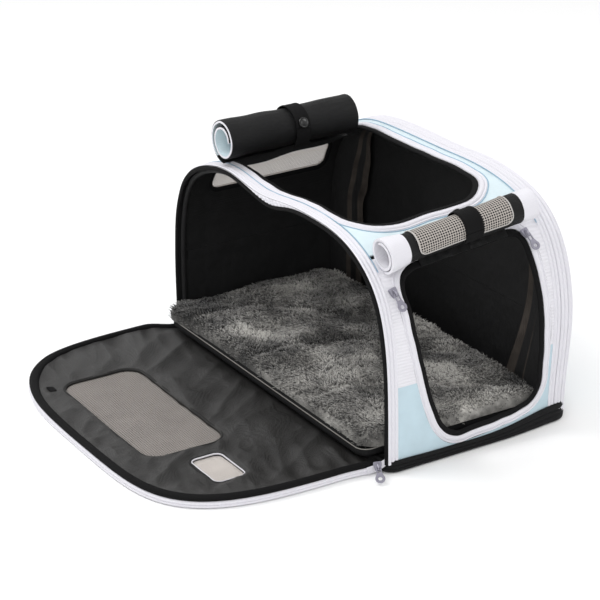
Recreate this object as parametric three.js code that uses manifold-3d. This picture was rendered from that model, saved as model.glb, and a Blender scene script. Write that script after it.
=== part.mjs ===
// Soft-sided pet carrier bag with a fold-down front door, a rolled-up top door, a rolled-up end
// door and a zipped rear panel that folds out. Millimetres, +Z up. X runs along the bag, the front
// door lies towards -Y, and the origin is the centre of the underside of the base.
import * as THREE from 'three';
import { mergeVertices } from 'three/addons/utils/BufferGeometryUtils.js';
import Module from 'manifold-3d';

const wasm = await Module();
wasm.setup();

// Overall sizes
const bagLength = 440;
const bagDepth = 236;
const frontHeight = 236;
const rearHeight = 250;
const archExponent = 4.05;
const archSteps = 40;
const wallSteps = 14;
const roofSteps = 20;
const roofSag = { everywhere: 3, middle: 11, centre: -18, width: 52 };
const fabric = 3;
const gap = 0.3;

// Base and floor
const baseHeight = 10;
const archFoot = baseHeight + gap;
const baseFrontRadius = 12;
const baseRearRadius = 30;
const floorTop = 15.4;

// Seams of the body along Y and round the arch
const frontY = -bagDepth / 2;
const rearY = bagDepth / 2;
const frontBandDepth = 12.7;
const bindingDepth = 3.7;
const rearSeamY = 88;
const expansionSeamY = 97;
const rearBandEndY = 106.7;
const shoulderTurn = 0.311;
const turnGap = 0.0006;
const lowerPanelTop = 92;

// Openings in the body
const tapeWidth = 7.7;
const bindingWidth = 8;
const topOpening = { left: -125, right: 139, front: -97, rear: 70, corner: 46, hingeCorner: 14 };
const farWindow = { front: -83, rear: 79, bottom: 168, top: 206, corner: 12 };

// Front door, lying open on the floor
const doorHingeY = frontY - bindingDepth - 0.8;
const doorHingeZ = 15.5;
const doorReach = 230;
const doorHalfWidth = 210;
const doorRingWidth = 8.5;
const doorRingTop = 15;
const doorPanelBottom = 2;
const doorPanelTop = 8;
const doorWindow = { left: -131, right: 77, outer: -312, inner: -221, corner: 18 };
const cardWindow = { left: 101, right: 160, outer: -279, inner: -244, corner: 8 };

// Mat
const matHalfLength = 194.5;
const matFrontY = -129.5;
const matRearY = 82;
const matBoardTop = 24;
const fleeceTop = 50;
const fleeceEdge = 8;

// Rolled doors: radius, layer thickness, pitch of the spiral and number of turns
const topRoll = { radius: 23, layer: 4.2, pitch: 5, turns: 1.75, length: 163 };
const endRoll = { radius: 17.5, layer: 3, pitch: 3.8, turns: 1.6, length: 179 };
const strapThickness = 1.6;

// Zip sliders
const sliderLength = 10;
const sliderWidth = 8.4;
const sliderHeight = 3.4;
const sliderLift = 0.5;
const pullLength = 20;
const pullWidth = 10;
const pullNeck = 5.4;
const pullThickness = 1.4;
const pullHingeY = -1.9;
const pullHingeZ = 5;
const bridgeTop = 6.9;

// Finishes
const finish = (color, roughness, metalness = 0) =>
  new THREE.MeshStandardMaterial({ color, roughness, metalness });
const paleBlue = () => finish(0xc2d9e3, 0.85);
const white = () => finish(0xe3e1e8, 0.8);
const black = () => finish(0x17171a, 0.85);
const blackLining = () => finish(0x2a2a2b, 0.55);
const meshGrey = () => finish(0x9a8f88, 0.9);
const lilacMetal = () => finish(0xcfcbd8, 0.4, 0.3);
const steel = () => finish(0x8c8f94, 0.35, 1);
const board = () => finish(0x303032, 0.8);
const plush = () => finish(0x6f6d6a, 1);

const bag = new THREE.Group();

function addPart(name, geometry, material, parent = bag) {
  const mesh = new THREE.Mesh(geometry, material);
  mesh.name = name;
  parent.add(mesh);
  return mesh;
}

// Boolean helpers
function toSolid(geometry) {
  const bare = new THREE.BufferGeometry();
  bare.setAttribute('position', geometry.attributes.position.clone());
  if (geometry.index) bare.setIndex(geometry.index.clone());
  const merged = mergeVertices(bare, 1e-4);
  return new wasm.Manifold(new wasm.Mesh({
    numProp: 3,
    vertProperties: new Float32Array(merged.attributes.position.array),
    triVerts: new Uint32Array(merged.index.array),
  }));
}

function toGeometry(solid) {
  const mesh = solid.getMesh();
  const geometry = new THREE.BufferGeometry();
  geometry.setAttribute('position', new THREE.BufferAttribute(new Float32Array(mesh.vertProperties), 3));
  geometry.setIndex(new THREE.BufferAttribute(new Uint32Array(mesh.triVerts), 1));
  geometry.computeVertexNormals();
  return geometry;
}

const cut = (geometry, ...tools) =>
  toGeometry(tools.reduce((solid, tool) => solid.subtract(toSolid(tool)), toSolid(geometry)));
const keepInside = (geometry, tool) => toGeometry(toSolid(geometry).intersect(toSolid(tool)));
const join = (geometry, tool) => toGeometry(toSolid(geometry).add(toSolid(tool)));

function box(low, high) {
  const geometry = new THREE.BoxGeometry(high[0] - low[0], high[1] - low[1], high[2] - low[2]);
  geometry.translate((low[0] + high[0]) / 2, (low[1] + high[1]) / 2, (low[2] + high[2]) / 2);
  return geometry;
}

// The body's outline is an upright arch, nearly square-shouldered, a little taller at the rear.
const bend = (value) => Math.sign(value) * Math.abs(value) ** (2 / archExponent);
const crownHeight = (y) => THREE.MathUtils.mapLinear(y, frontY, rearY, frontHeight, rearHeight);

// turn runs from 0 at the near foot (+X) over the top to 1 at the far foot (-X).
function archPoint(turn, inset, y) {
  const angle = Math.PI * turn;
  const x = (bagLength / 2 - inset) * bend(Math.cos(angle));
  const z = archFoot + (crownHeight(y) - archFoot - inset) * bend(Math.max(Math.sin(angle), 0));
  return new THREE.Vector3(x, y, z - sagAt(x, y, z));
}

// The roof's fabric hangs slack between the hoops, most at the front.
function sagAt(x, y, z) {
  const onRoof = THREE.MathUtils.smoothstep(z, 170, 225);
  const dip = roofSag.everywhere + roofSag.middle * Math.exp(-(((x - roofSag.centre) / roofSag.width) ** 2));
  return onRoof * dip * (1 - 0.75 * THREE.MathUtils.smoothstep(y, frontY, 60));
}

// Turn crowds its values at the feet and the crown, so sweeps step evenly by length instead.
const lengthTable = [0];
for (let i = 1; i <= 2000; i += 1) {
  const at = (turn) => new THREE.Vector2(bend(Math.cos(Math.PI * turn)), bend(Math.max(Math.sin(Math.PI * turn), 0)));
  lengthTable.push(lengthTable[i - 1] + at(i / 2000).distanceTo(at((i - 1) / 2000)));
}
function evenTurn(from, to, share) {
  const lengthAt = (turn) => {
    const place = Math.min(turn * 2000, 1999.999);
    const i = Math.floor(place);
    return THREE.MathUtils.lerp(lengthTable[i], lengthTable[i + 1], place - i);
  };
  const target = THREE.MathUtils.lerp(lengthAt(from), lengthAt(to), share);
  const i = Math.max(1, lengthTable.findIndex((length) => length >= target - 1e-9));
  return (i - 1 + (target - lengthTable[i - 1]) / (lengthTable[i] - lengthTable[i - 1])) / 2000;
}

// The front door has the same outline, lying flat.
function doorPoint(turn, inset, z) {
  const angle = Math.PI * turn;
  const x = (doorHalfWidth - inset) * bend(Math.cos(angle));
  const y = doorHingeY - 1.5 - (doorReach - inset) * bend(Math.max(Math.sin(angle), 0));
  return new THREE.Vector3(x, y, z);
}

// Sweeps a profile of [across, inset] points round an outline.
function sweep(profile, outlinePoint, from = 0, to = 1, steps = archSteps, flip = false) {
  const shape = new THREE.Shape(profile.map(([across, inset]) => new THREE.Vector2(across, inset)));
  const geometry = new THREE.ExtrudeGeometry(shape, { depth: 1, steps, bevelEnabled: false });
  const position = geometry.attributes.position;
  for (let i = 0; i < position.count; i += 1) {
    const turn = evenTurn(from, to, position.getZ(i));
    const point = outlinePoint(turn, position.getY(i), position.getX(i));
    position.setXYZ(i, point.x, point.y, point.z);
  }
  if (flip) turnInsideOut(geometry);
  return geometry;
}

function turnInsideOut(geometry) {
  const position = geometry.attributes.position;
  const first = new THREE.Vector3();
  const second = new THREE.Vector3();
  for (let i = 0; i < position.count; i += 3) {
    first.fromBufferAttribute(position, i + 1);
    second.fromBufferAttribute(position, i + 2);
    position.setXYZ(i + 1, second.x, second.y, second.z);
    position.setXYZ(i + 2, first.x, first.y, first.z);
  }
}

const skin = (fromY, toY, from, to, steps, outer = 0, inner = fabric) =>
  sweep([[fromY, outer], [toY, outer], [toY, inner], [fromY, inner]], archPoint, from, to, steps);

const wireProfile = (across, inset, radius) =>
  Array.from({ length: 8 }, (unused, i) => {
    const angle = (i * Math.PI) / 4;
    return [across + radius * Math.cos(angle), inset + radius * Math.sin(angle)];
  });

// Flat outlines
function roundedRectangle(left, right, low, high, radii) {
  const [lowLeft, lowRight, highRight, highLeft] = Array.isArray(radii) ? radii : Array(4).fill(radii);
  const shape = new THREE.Shape();
  shape.moveTo(left + lowLeft, low);
  shape.lineTo(right - lowRight, low);
  shape.absarc(right - lowRight, low + lowRight, lowRight, -Math.PI / 2, 0);
  shape.lineTo(right, high - highRight);
  shape.absarc(right - highRight, high - highRight, highRight, 0, Math.PI / 2);
  shape.lineTo(left + highLeft, high);
  shape.absarc(left + highLeft, high - highLeft, highLeft, Math.PI / 2, Math.PI);
  shape.lineTo(left, low + lowLeft);
  shape.absarc(left + lowLeft, low + lowLeft, lowLeft, Math.PI, 1.5 * Math.PI);
  return shape;
}

// Moves every point of a convex outline outwards along the mean normal of its two edges.
function offsetOutline(points, distance) {
  const count = points.length;
  return points.map((point, i) => {
    const before = point.clone().sub(points[(i + count - 1) % count]).normalize();
    const after = points[(i + 1) % count].clone().sub(point).normalize();
    const normal = new THREE.Vector2(before.y + after.y, -before.x - after.x).normalize();
    const miter = normal.dot(new THREE.Vector2(before.y, -before.x));
    return point.clone().addScaledVector(normal, distance / Math.max(miter, 0.5));
  });
}

function outlinePoints(shape, divisions = 6) {
  const points = shape.getPoints(divisions);
  return points.filter((point, i) => point.distanceTo(points[(i + 1) % points.length]) > 0.01);
}

const plate = (points, bottom, top) =>
  new THREE.ExtrudeGeometry(new THREE.Shape(points), { depth: top - bottom, bevelEnabled: false })
    .translate(0, 0, bottom);

// A prism along X whose outline is given in Y and Z.
function prismAlongX(points, from, to) {
  const geometry = plate(points, from, to);
  const swap = new THREE.Matrix4().makeBasis(
    new THREE.Vector3(0, 1, 0), new THREE.Vector3(0, 0, 1), new THREE.Vector3(1, 0, 0));
  return geometry.applyMatrix4(swap);
}

// Base: fabric tray, stiff board, lined floor and the two fabric hinges
function buildBase() {
  const radii = [baseFrontRadius, baseFrontRadius, baseRearRadius, baseRearRadius];
  const half = bagLength / 2;
  const outer = outlinePoints(roundedRectangle(-half, half, frontY, rearY, radii));
  const inner = offsetOutline(outer, -fabric);
  const tray = cut(plate(outer, 0, baseHeight), plate(inner, 2, baseHeight + 1));
  addPart('base_tray', tray, black());
  addPart('base_board', plate(offsetOutline(outer, -fabric - gap), 2 + gap, 5.3), board());
  const floor = roundedRectangle(-208, 208, frontY + fabric + gap, rearSeamY, 10);
  addPart('floor_lining', plate(outlinePoints(floor, 3), 5.6, floorTop), blackLining());
  addPart('front_door_hinge_tape', box([-205, frontY - 5.2, 2], [205, frontY - gap, 14]), paleBlue());
  addPart('rear_panel_hinge_tape', box([-180, rearY + gap, 1], [180, rearY + 1.8, 8]), black());
}

// Front arch: black binding on its face, white zip band round its edge, wire hoop behind
function buildFrontArch() {
  const face = frontY - gap;
  const bindingProfile = [
    [face, 0.8], [face, 6], [face - 2, 6.4], [face - bindingDepth + gap, 5],
    [face - bindingDepth + gap, 2.2], [face - 2, 0.8]];
  addPart('front_arch_binding', sweep(bindingProfile, archPoint), black());
  addPart('front_arch_zip_band', skin(frontY, frontY + frontBandDepth, 0, 1), white());
  addPart('front_hoop_wire', sweep(wireProfile(frontY + 6, 6.4, 2), archPoint), steel());
}

// Outline of the end door opening in Y and Z
function endOpeningShape() {
  const shape = new THREE.Shape();
  shape.moveTo(-28, 20);
  shape.lineTo(50, 28);
  shape.quadraticCurveTo(76, 31, 77, 58);
  shape.quadraticCurveTo(79, 118, 71, 198);
  shape.quadraticCurveTo(69, 215.6, 52, 214.7);
  shape.lineTo(-62, 206.6);
  shape.quadraticCurveTo(-92, 204.6, -88, 175);
  shape.quadraticCurveTo(-82, 112, -68, 66);
  shape.quadraticCurveTo(-54, 18, -28, 20);
  return shape;
}

// Near end: white panel over blue panel, both cut for the door, then the zip tape and binding
function buildNearEnd() {
  const outline = outlinePoints(endOpeningShape(), 5);
  const prism = (distance) => prismAlongX(offsetOutline(outline, distance), 100, 260);
  const wall = skin(frontY + frontBandDepth + gap, rearSeamY, 0, shoulderTurn - turnGap, wallSteps);
  const panel = cut(wall, prism(tapeWidth + gap));
  const above = box([0, -200, lowerPanelTop], [300, 200, 400]);
  const below = box([0, -200, 0], [300, 200, lowerPanelTop - gap]);
  addPart('near_end_upper_panel', keepInside(panel, above), white());
  addPart('near_end_lower_panel', keepInside(panel, below), paleBlue());
  const tape = cut(keepInside(wall, prism(tapeWidth)), prism(0));
  addPart('end_door_zip_tape', tape, white());
  addPart('end_opening_binding', cut(keepInside(wall, prism(-gap)), prism(-bindingWidth)), black());
}

// Top: blue panel, then the zip tape and binding round the D-shaped opening
function buildTop() {
  const { left, right, front, rear, corner, hingeCorner } = topOpening;
  const shape = roundedRectangle(left, right, front, rear, [hingeCorner, corner, corner, hingeCorner]);
  const outline = outlinePoints(shape, 5);
  const prism = (distance) => plate(offsetOutline(outline, distance), 150, 300);
  const from = shoulderTurn + turnGap;
  const wall = skin(frontY + frontBandDepth + gap, rearSeamY, from, 1 - from, roofSteps);
  addPart('top_panel', cut(wall, prism(tapeWidth + gap)), paleBlue());
  addPart('top_door_zip_tape', cut(keepInside(wall, prism(tapeWidth)), prism(0)), white());
  addPart('top_opening_binding', cut(keepInside(wall, prism(-gap)), prism(-bindingWidth)), black());
}

// Far end: plain wall with a mesh window under the shoulder
function buildFarEnd() {
  const { front, rear, bottom, top, corner } = farWindow;
  const outline = outlinePoints(roundedRectangle(front, rear, bottom, top, corner), 3);
  const prism = (distance) => prismAlongX(offsetOutline(outline, distance), -260, -100);
  const fromY = frontY + frontBandDepth + gap;
  const from = 1 - shoulderTurn + turnGap;
  const wall = cut(skin(fromY, rearSeamY, from, 1, wallSteps), prism(gap));
  addPart('far_end_upper_panel', keepInside(wall, box([-300, -200, lowerPanelTop], [0, 200, 400])), white());
  const lower = box([-300, -200, 0], [0, 200, lowerPanelTop - gap]);
  addPart('far_end_lower_panel', keepInside(wall, lower), paleBlue());
  const netting = skin(fromY, rearSeamY, from, 1, wallSteps, 1, 2.2);
  addPart('far_window_mesh', keepInside(netting, prism(0)), meshGrey());
}

// Rear: fixed zip band, folded mesh gusset inside it, and the panel that folds out
function buildRear() {
  addPart('rear_fixed_zip_band', skin(rearSeamY + gap, expansionSeamY, 0, 1), white());
  const folds = [
    [rearSeamY + 0.6, 3.4], [rearSeamY + 8.6, 3.4], [rearSeamY + 8.6, 22],
    [rearSeamY + 6, 22], [rearSeamY + 4.6, 8], [rearSeamY + 3.2, 22], [rearSeamY + 0.6, 22]];
  addPart('expansion_gusset', sweep(folds, archPoint), meshGrey());
  addPart('rear_moving_zip_band', skin(expansionSeamY + gap, rearBandEndY, 0, 1), white());
  const edge = [
    [rearBandEndY + gap, 0], [112.5, 1], [116.3, 4.4], [rearY, 10], [rearY, 14],
    [rearY - fabric, 14], [rearY - fabric, 10.6], [113.6, 6.6], [111.2, 4], [rearBandEndY + gap, fabric]];
  addPart('rear_panel_edge', sweep(edge, archPoint), white());
  addPart('rear_hoop_wire', sweep(wireProfile(102, 6.4, 2), archPoint), steel());
  const face = Array.from({ length: archSteps + 1 }, (unused, i) => archPoint(evenTurn(0, 1, i / archSteps), 14 + gap, rearY))
    .map((point) => new THREE.Vector2(point.x, point.z));
  const panel = plate(face, 0, fabric).rotateX(Math.PI / 2).translate(0, rearY, 0);
  const above = box([-300, 0, lowerPanelTop], [300, 200, 400]);
  const below = box([-300, 0, 0], [300, 200, lowerPanelTop - gap]);
  addPart('rear_upper_panel', keepInside(panel, above), white());
  addPart('rear_lower_panel', keepInside(panel, below), paleBlue());
}

// Front door: panel with two windows, zip band round its edge, wire hoop in a binding sleeve
function buildFrontDoor() {
  const band = [[0.5, 0], [doorRingTop, 0], [doorRingTop, doorRingWidth], [0.5, doorRingWidth]];
  addPart('front_door_zip_band', sweep(band, doorPoint, 0, 1, archSteps), white());
  const inset = doorRingWidth + gap;
  const outline = Array.from({ length: archSteps + 1 }, (unused, i) => doorPoint(evenTurn(0, 1, 1 - i / archSteps), inset, 0))
    .map((point) => new THREE.Vector2(point.x, point.y));
  const frame = (w, distance) => {
    const shape = roundedRectangle(w.left, w.right, w.outer, w.inner, w.corner);
    return plate(offsetOutline(outlinePoints(shape, 4), distance), -1, 20);
  };
  const slab = plate(outline, doorPanelBottom, doorPanelTop);
  addPart('front_door_panel', cut(slab, frame(doorWindow, gap), frame(cardWindow, gap)), blackLining());
  const netting = plate(outline, 5, 6.2);
  addPart('front_door_window_mesh', keepInside(netting, frame(doorWindow, 0)), meshGrey());
  addPart('front_door_small_window', keepInside(netting, frame(cardWindow, 0)), meshGrey());
  const low = doorPanelTop + gap;
  const sleeve = [
    [low, inset], [14, inset], [14.6, inset + 1], [14.6, inset + 5], [14, inset + 6], [low, inset + 6],
    [low, inset + 5.2], [13.4, inset + 5.2], [13.4, inset + 0.8], [low, inset + 0.8]];
  addPart('front_door_binding', sweep(sleeve, doorPoint), black());
  addPart('front_door_hoop_wire', sweep(wireProfile(10.6, inset + 3, 1.6), doorPoint), steel());
}

// Mat: wrapped board under a plush pad
function buildMat() {
  const sheet = roundedRectangle(-matHalfLength, matHalfLength, matFrontY, matRearY, 12);
  addPart('mat_board', plate(outlinePoints(sheet, 3), floorTop + 0.6, matBoardTop), black());
  const inner = roundedRectangle(
    -matHalfLength + fleeceEdge, matHalfLength - fleeceEdge, matFrontY + fleeceEdge, matRearY - fleeceEdge, 8);
  const pad = new THREE.ExtrudeGeometry(inner, {
    depth: fleeceTop - matBoardTop - gap - 2 * 6, curveSegments: 3,
    bevelEnabled: true, bevelThickness: 6, bevelSize: fleeceEdge - 1, bevelSegments: 2 });
  pad.translate(0, 0, matBoardTop + gap + 6);
  addPart('fleece_mat', pad, plush());
}

// A rolled door: one layer wound in a spiral, its loose end underneath
function rollGeometry({ radius, layer, pitch, turns, length }, direction) {
  const steps = Math.round(turns * 20);
  const at = (i, side) => {
    const angle = -Math.PI / 2 + (direction * i * 2 * Math.PI) / 20;
    const r = radius - (pitch * i) / 20 - side * layer;
    return new THREE.Vector2(r * Math.cos(angle), r * Math.sin(angle));
  };
  const outer = Array.from({ length: steps + 1 }, (unused, i) => at(i, 0));
  const inner = Array.from({ length: steps + 1 }, (unused, i) => at(steps - i, 1));
  return plate([...outer, ...inner], -length / 2, length / 2).rotateX(Math.PI / 2);
}

// A strap bent round a roll from one angle to another, in degrees from +X towards +Z
function strapGeometry(innerRadius, fromAngle, toAngle, width, y) {
  const steps = Math.max(3, Math.round((toAngle - fromAngle) / 14));
  const arc = (radius, i) => {
    const angle = THREE.MathUtils.degToRad(THREE.MathUtils.lerp(fromAngle, toAngle, i / steps));
    return new THREE.Vector2(radius * Math.cos(angle), radius * Math.sin(angle));
  };
  const inner = Array.from({ length: steps + 1 }, (unused, i) => arc(innerRadius, steps - i));
  const outer = Array.from({ length: steps + 1 }, (unused, i) => arc(innerRadius + strapThickness, i));
  return plate([...outer, ...inner], -width / 2, width / 2).rotateX(Math.PI / 2).translate(0, y, 0);
}

function snapCap(name, distance, angle, y, parent) {
  const cap = addPart(name, new THREE.CylinderGeometry(4.6, 5.6, 2, 14), lilacMetal(), parent);
  const turn = THREE.MathUtils.degToRad(angle);
  cap.position.set(distance * Math.cos(turn), y, distance * Math.sin(turn));
  cap.rotation.set(0, -turn, -Math.PI / 2);
}

// Places a group on the straight line from one end of a roll to the other.
function rollGroup(front, rear) {
  const group = new THREE.Group();
  const along = rear.clone().sub(front).normalize();
  const side = new THREE.Vector3().crossVectors(along, new THREE.Vector3(0, 0, 1)).normalize();
  const up = new THREE.Vector3().crossVectors(side, along);
  group.applyMatrix4(new THREE.Matrix4().makeBasis(side, along, up));
  group.position.copy(front).lerp(rear, 0.5);
  bag.add(group);
  return group;
}

function buildTopRoll() {
  const group = rollGroup(new THREE.Vector3(-101, -118, 261.4), new THREE.Vector3(-105, 45, 261.8));
  addPart('top_door_roll', rollGeometry(topRoll, -1), black(), group);
  const y = 8;
  const reach = topRoll.radius + gap + 0.2;
  addPart('top_strap_root', strapGeometry(reach, 188, 246, 20, y), black(), group);
  addPart('top_strap', strapGeometry(reach, 12, 186, 20, y), black(), group);
  addPart('top_strap_tab', strapGeometry(reach, -50, 10, 20, y), black(), group);
  snapCap('top_snap_cap', reach + strapThickness + 1.4, 24, y, group);
}

function buildEndRoll() {
  const group = rollGroup(new THREE.Vector3(188, -103.5, 221.3), new THREE.Vector3(187.5, 75, 240.5));
  addPart('end_door_roll', rollGeometry(endRoll, 1), black(), group);
  const y = 10;
  const reach = endRoll.radius + gap + 0.2;
  addPart('end_strap_root', strapGeometry(reach, -50, -6, 22, y), black(), group);
  addPart('end_strap', strapGeometry(reach, -4, 168, 22, y), black(), group);
  addPart('end_strap_tab', strapGeometry(reach, 170, 206, 22, y), black(), group);
  snapCap('end_snap_cap', reach + strapThickness + 1.4, 152, y, group);
}

// Outline of a slider body, wide at the mouth and narrow at the tail
function sliderGeometry() {
  const half = sliderLength / 2;
  const shape = new THREE.Shape();
  shape.moveTo(-sliderWidth * 0.3, -half);
  shape.lineTo(sliderWidth * 0.3, -half);
  shape.lineTo(sliderWidth / 2, half * 0.3);
  shape.lineTo(sliderWidth / 2, half);
  shape.lineTo(-sliderWidth / 2, half);
  shape.lineTo(-sliderWidth / 2, half * 0.3);
  const body = new THREE.ExtrudeGeometry(shape, { depth: sliderHeight, bevelEnabled: false });
  body.translate(0, 0, sliderLift);
  const arch = box([-1.2, -half * 0.92, sliderLift + sliderHeight - 0.4], [1.2, half * 0.6, bridgeTop]);
  const tunnel = box([-2, pullHingeY - 1.1, pullHingeZ - 1.1], [2, pullHingeY + 1.1, pullHingeZ + 1.1]);
  const bridge = cut(arch, tunnel);
  return join(body, bridge);
}

// Outline of a pull: a neck with a window for the bridge, widening to a round eye
function pullGeometry() {
  const eyeY = pullWidth / 2 - pullLength;
  const degrees = Math.PI / 180;
  const shape = new THREE.Shape();
  shape.moveTo(-pullNeck / 2, 0);
  shape.lineTo(-pullNeck / 2, -8.4);
  shape.absarc(0, eyeY, pullWidth / 2, 125 * degrees, 415 * degrees);
  shape.lineTo(pullNeck / 2, -8.4);
  shape.lineTo(pullNeck / 2, 0);
  shape.holes.push(roundedRectangle(-1.6, 1.6, -8, -pullThickness, 0.6));
  shape.holes.push(new THREE.Path().absarc(0, eyeY, 2.2, 0, 2 * Math.PI));
  return new THREE.ExtrudeGeometry(shape, { depth: pullThickness, bevelEnabled: false, curveSegments: 6 });
}

// Places a slider and its pull. towards is the way the pull lies, normal points off the fabric.
function addZipPull(name, point, normal, towards) {
  const up = normal.clone().normalize();
  const back = towards.clone().projectOnPlane(up).normalize().negate();
  const side = new THREE.Vector3().crossVectors(back, up);
  const group = new THREE.Group();
  group.applyMatrix4(new THREE.Matrix4().makeBasis(side, back, up));
  group.position.copy(point);
  bag.add(group);
  addPart(`${name}_slider`, sliderGeometry(), lilacMetal(), group);
  const pull = addPart(`${name}_pull`, pullGeometry(), lilacMetal(), group);
  pull.position.set(0, pullHingeY + pullThickness / 2, pullHingeZ - pullThickness / 2);
}

// Point and outward normal on the skin, found from its neighbours along and across the arch
function skinFrame(turn, y) {
  const point = archPoint(turn, 0, y);
  const along = archPoint(turn + 0.002, 0, y).sub(archPoint(turn - 0.002, 0, y));
  const across = archPoint(turn, 0, y + 1).sub(archPoint(turn, 0, y - 1));
  return { point, along: along.normalize(), normal: across.cross(along).normalize() };
}

function buildZipPulls() {
  const down = new THREE.Vector3(0, 0, -1);
  const sideways = new THREE.Vector3(1, 0, 0);
  const nearFoot = new THREE.Vector3(bagLength / 2 - 2.5, frontY - 10.5, 10);
  addZipPull('front_door_zip', nearFoot, new THREE.Vector3(0.45, -0.25, 0.86), new THREE.Vector3(0.8, -0.35, -0.5));
  const farFoot = new THREE.Vector3(-bagLength / 2 - gap, expansionSeamY, 30);
  addZipPull('rear_panel_zip', farFoot, sideways.clone().negate(), down);
  const endFront = skinFrame(0.2, -98);
  addZipPull('end_door_front_zip', endFront.point, endFront.normal, new THREE.Vector3(0, 0.17, -1));
  const endRear = skinFrame(0.243, 70);
  addZipPull('end_door_rear_zip', endRear.point, endRear.normal, new THREE.Vector3(0, 0.2, -1));
  const topFront = skinFrame(0.59, -101);
  addZipPull('top_door_zip', topFront.point, topFront.normal, new THREE.Vector3(-1, 0, 0));
}

buildBase();
buildFrontArch();
buildNearEnd();
buildTop();
buildFarEnd();
buildRear();
buildFrontDoor();
buildMat();
buildTopRoll();
buildEndRoll();
buildZipPulls();

export default bag;
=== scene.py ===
"""Looks of the pet carrier bag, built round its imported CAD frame. Metres, +Z up, row frame."""

import math

import bmesh
import bpy
import numpy as np
from mathutils import Matrix, Vector
from mathutils.geometry import delaunay_2d_cdt


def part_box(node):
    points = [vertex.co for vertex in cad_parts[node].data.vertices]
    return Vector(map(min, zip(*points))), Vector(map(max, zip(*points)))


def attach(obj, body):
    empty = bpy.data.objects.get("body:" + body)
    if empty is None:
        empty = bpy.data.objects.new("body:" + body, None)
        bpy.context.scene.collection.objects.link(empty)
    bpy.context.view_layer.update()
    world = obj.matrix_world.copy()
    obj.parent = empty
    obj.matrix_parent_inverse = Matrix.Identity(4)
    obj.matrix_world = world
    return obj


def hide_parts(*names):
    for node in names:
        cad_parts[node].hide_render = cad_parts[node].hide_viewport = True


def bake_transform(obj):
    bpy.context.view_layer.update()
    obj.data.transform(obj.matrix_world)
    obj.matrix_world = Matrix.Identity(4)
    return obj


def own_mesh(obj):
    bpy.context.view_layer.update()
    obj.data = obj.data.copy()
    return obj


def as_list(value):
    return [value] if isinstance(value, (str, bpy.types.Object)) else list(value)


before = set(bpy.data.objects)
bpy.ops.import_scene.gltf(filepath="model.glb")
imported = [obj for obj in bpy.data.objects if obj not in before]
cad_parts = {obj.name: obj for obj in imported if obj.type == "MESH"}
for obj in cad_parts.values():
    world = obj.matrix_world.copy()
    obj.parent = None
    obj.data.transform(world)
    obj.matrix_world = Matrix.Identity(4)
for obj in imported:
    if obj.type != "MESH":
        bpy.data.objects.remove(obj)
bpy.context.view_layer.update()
MM = 0.001

# ---------------------------------------------------------------- sizes shared with the CAD frame
ARCH_POWER = 4.05
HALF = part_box("base_tray")[1][0]
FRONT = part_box("base_tray")[0][1]
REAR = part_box("base_tray")[1][1]
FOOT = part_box("front_arch_zip_band")[0][2]
FRONT_CROWN = 0.236
REAR_CROWN = 0.250
BAND_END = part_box("front_arch_zip_band")[1][1]
REAR_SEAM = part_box("top_panel")[1][1]
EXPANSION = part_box("rear_fixed_zip_band")[1][1]
SHOULDER = 0.311
PANEL_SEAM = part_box("near_end_lower_panel")[1][2]
DOOR_HALF, DOOR_START, DOOR_REACH = 210 * MM, -124 * MM, 230 * MM
DOOR_WINDOW = [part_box("front_door_window_mesh")[i][k] for k in (0, 1) for i in (0, 1)]
CARD_WINDOW = [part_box("front_door_small_window")[i][k] for k in (0, 1) for i in (0, 1)]
MAT_LOW, MAT_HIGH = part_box("mat_board")

# ---------------------------------------------------------------- sizes of the cloth's own shapes
CLOTH = 3 * MM
SEAM_LAP = 0.4 * MM
CORNER_DRAW = np.array([6 * MM, 4.5 * MM])
ROOF_DIP, ROOF_SAG = 3 * MM, 8 * MM
SLACK, SLACK_AT = 5.5 * MM, 0.002
RIM_INSET = 13.8 * MM
RNG = np.random.default_rng(7)


def bend(value):
    return np.sign(value) * np.abs(value) ** (2 / ARCH_POWER)


def crown(y):
    return FRONT_CROWN + (REAR_CROWN - FRONT_CROWN) * (y - FRONT) / (REAR - FRONT)


def smooth(value, low, high):
    t = np.clip((value - low) / (high - low), 0, 1)
    return t * t * (3 - 2 * t)


def ripple(u, v, pitch, seed, count=7):
    """Smooth noise from -1 to 1: a few sine waves with seeded directions."""
    rng = np.random.default_rng(seed)
    total = np.zeros(np.broadcast(u, v).shape)
    for _ in range(count):
        angle, phase, stretch = rng.uniform(0, math.tau), rng.uniform(0, math.tau), rng.uniform(0.6, 1.5)
        k = math.tau / (pitch * stretch)
        total = total + np.sin(k * (u * math.cos(angle) + v * math.sin(angle)) + phase)
    return total / math.sqrt(count) / 1.4


def settle(x, y, z):
    """The roof's cloth hangs slack between its hoops, most at the front, with a slight wobble."""
    on_roof = smooth(z, 0.17, 0.225)
    dip = ROOF_DIP + ROOF_SAG * np.exp(-((x + 0.018) / 0.058) ** 2)
    dip = dip * (1 - 0.75 * smooth(y, FRONT, 0.06))
    wobble = 0.7 * MM * ripple(x, y, 0.09, 3)
    drawn = draw_in(x, y, z)
    sideways, forwards = CORNER_DRAW
    return np.stack([x - sideways * drawn, y - forwards * drawn, z - on_roof * (dip + wobble)], -1)


def draw_in(x, y, z):
    """How far the soft near rear corner draws in towards its foot, from 0 to 1."""
    return smooth(y, 0.02, REAR) * smooth(x, 0.09, 0.2) * (1 - smooth(z, 0.015, 0.14))


def arch(turn, inset, y):
    """A point on the body: turn 0 at the near foot, 1 at the far foot, inset inwards."""
    angle = np.pi * turn
    x = (HALF - inset) * bend(np.cos(angle))
    z = FOOT + (crown(y) - FOOT - inset) * bend(np.clip(np.sin(angle), 0, 1))
    return settle(x, y + 0 * x, z)


def turn_at_height(y, z):
    share = np.clip((z - FOOT) / (crown(y) - FOOT), 0, 0.9999)
    return np.arcsin(share ** (ARCH_POWER / 2)) / np.pi


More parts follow.
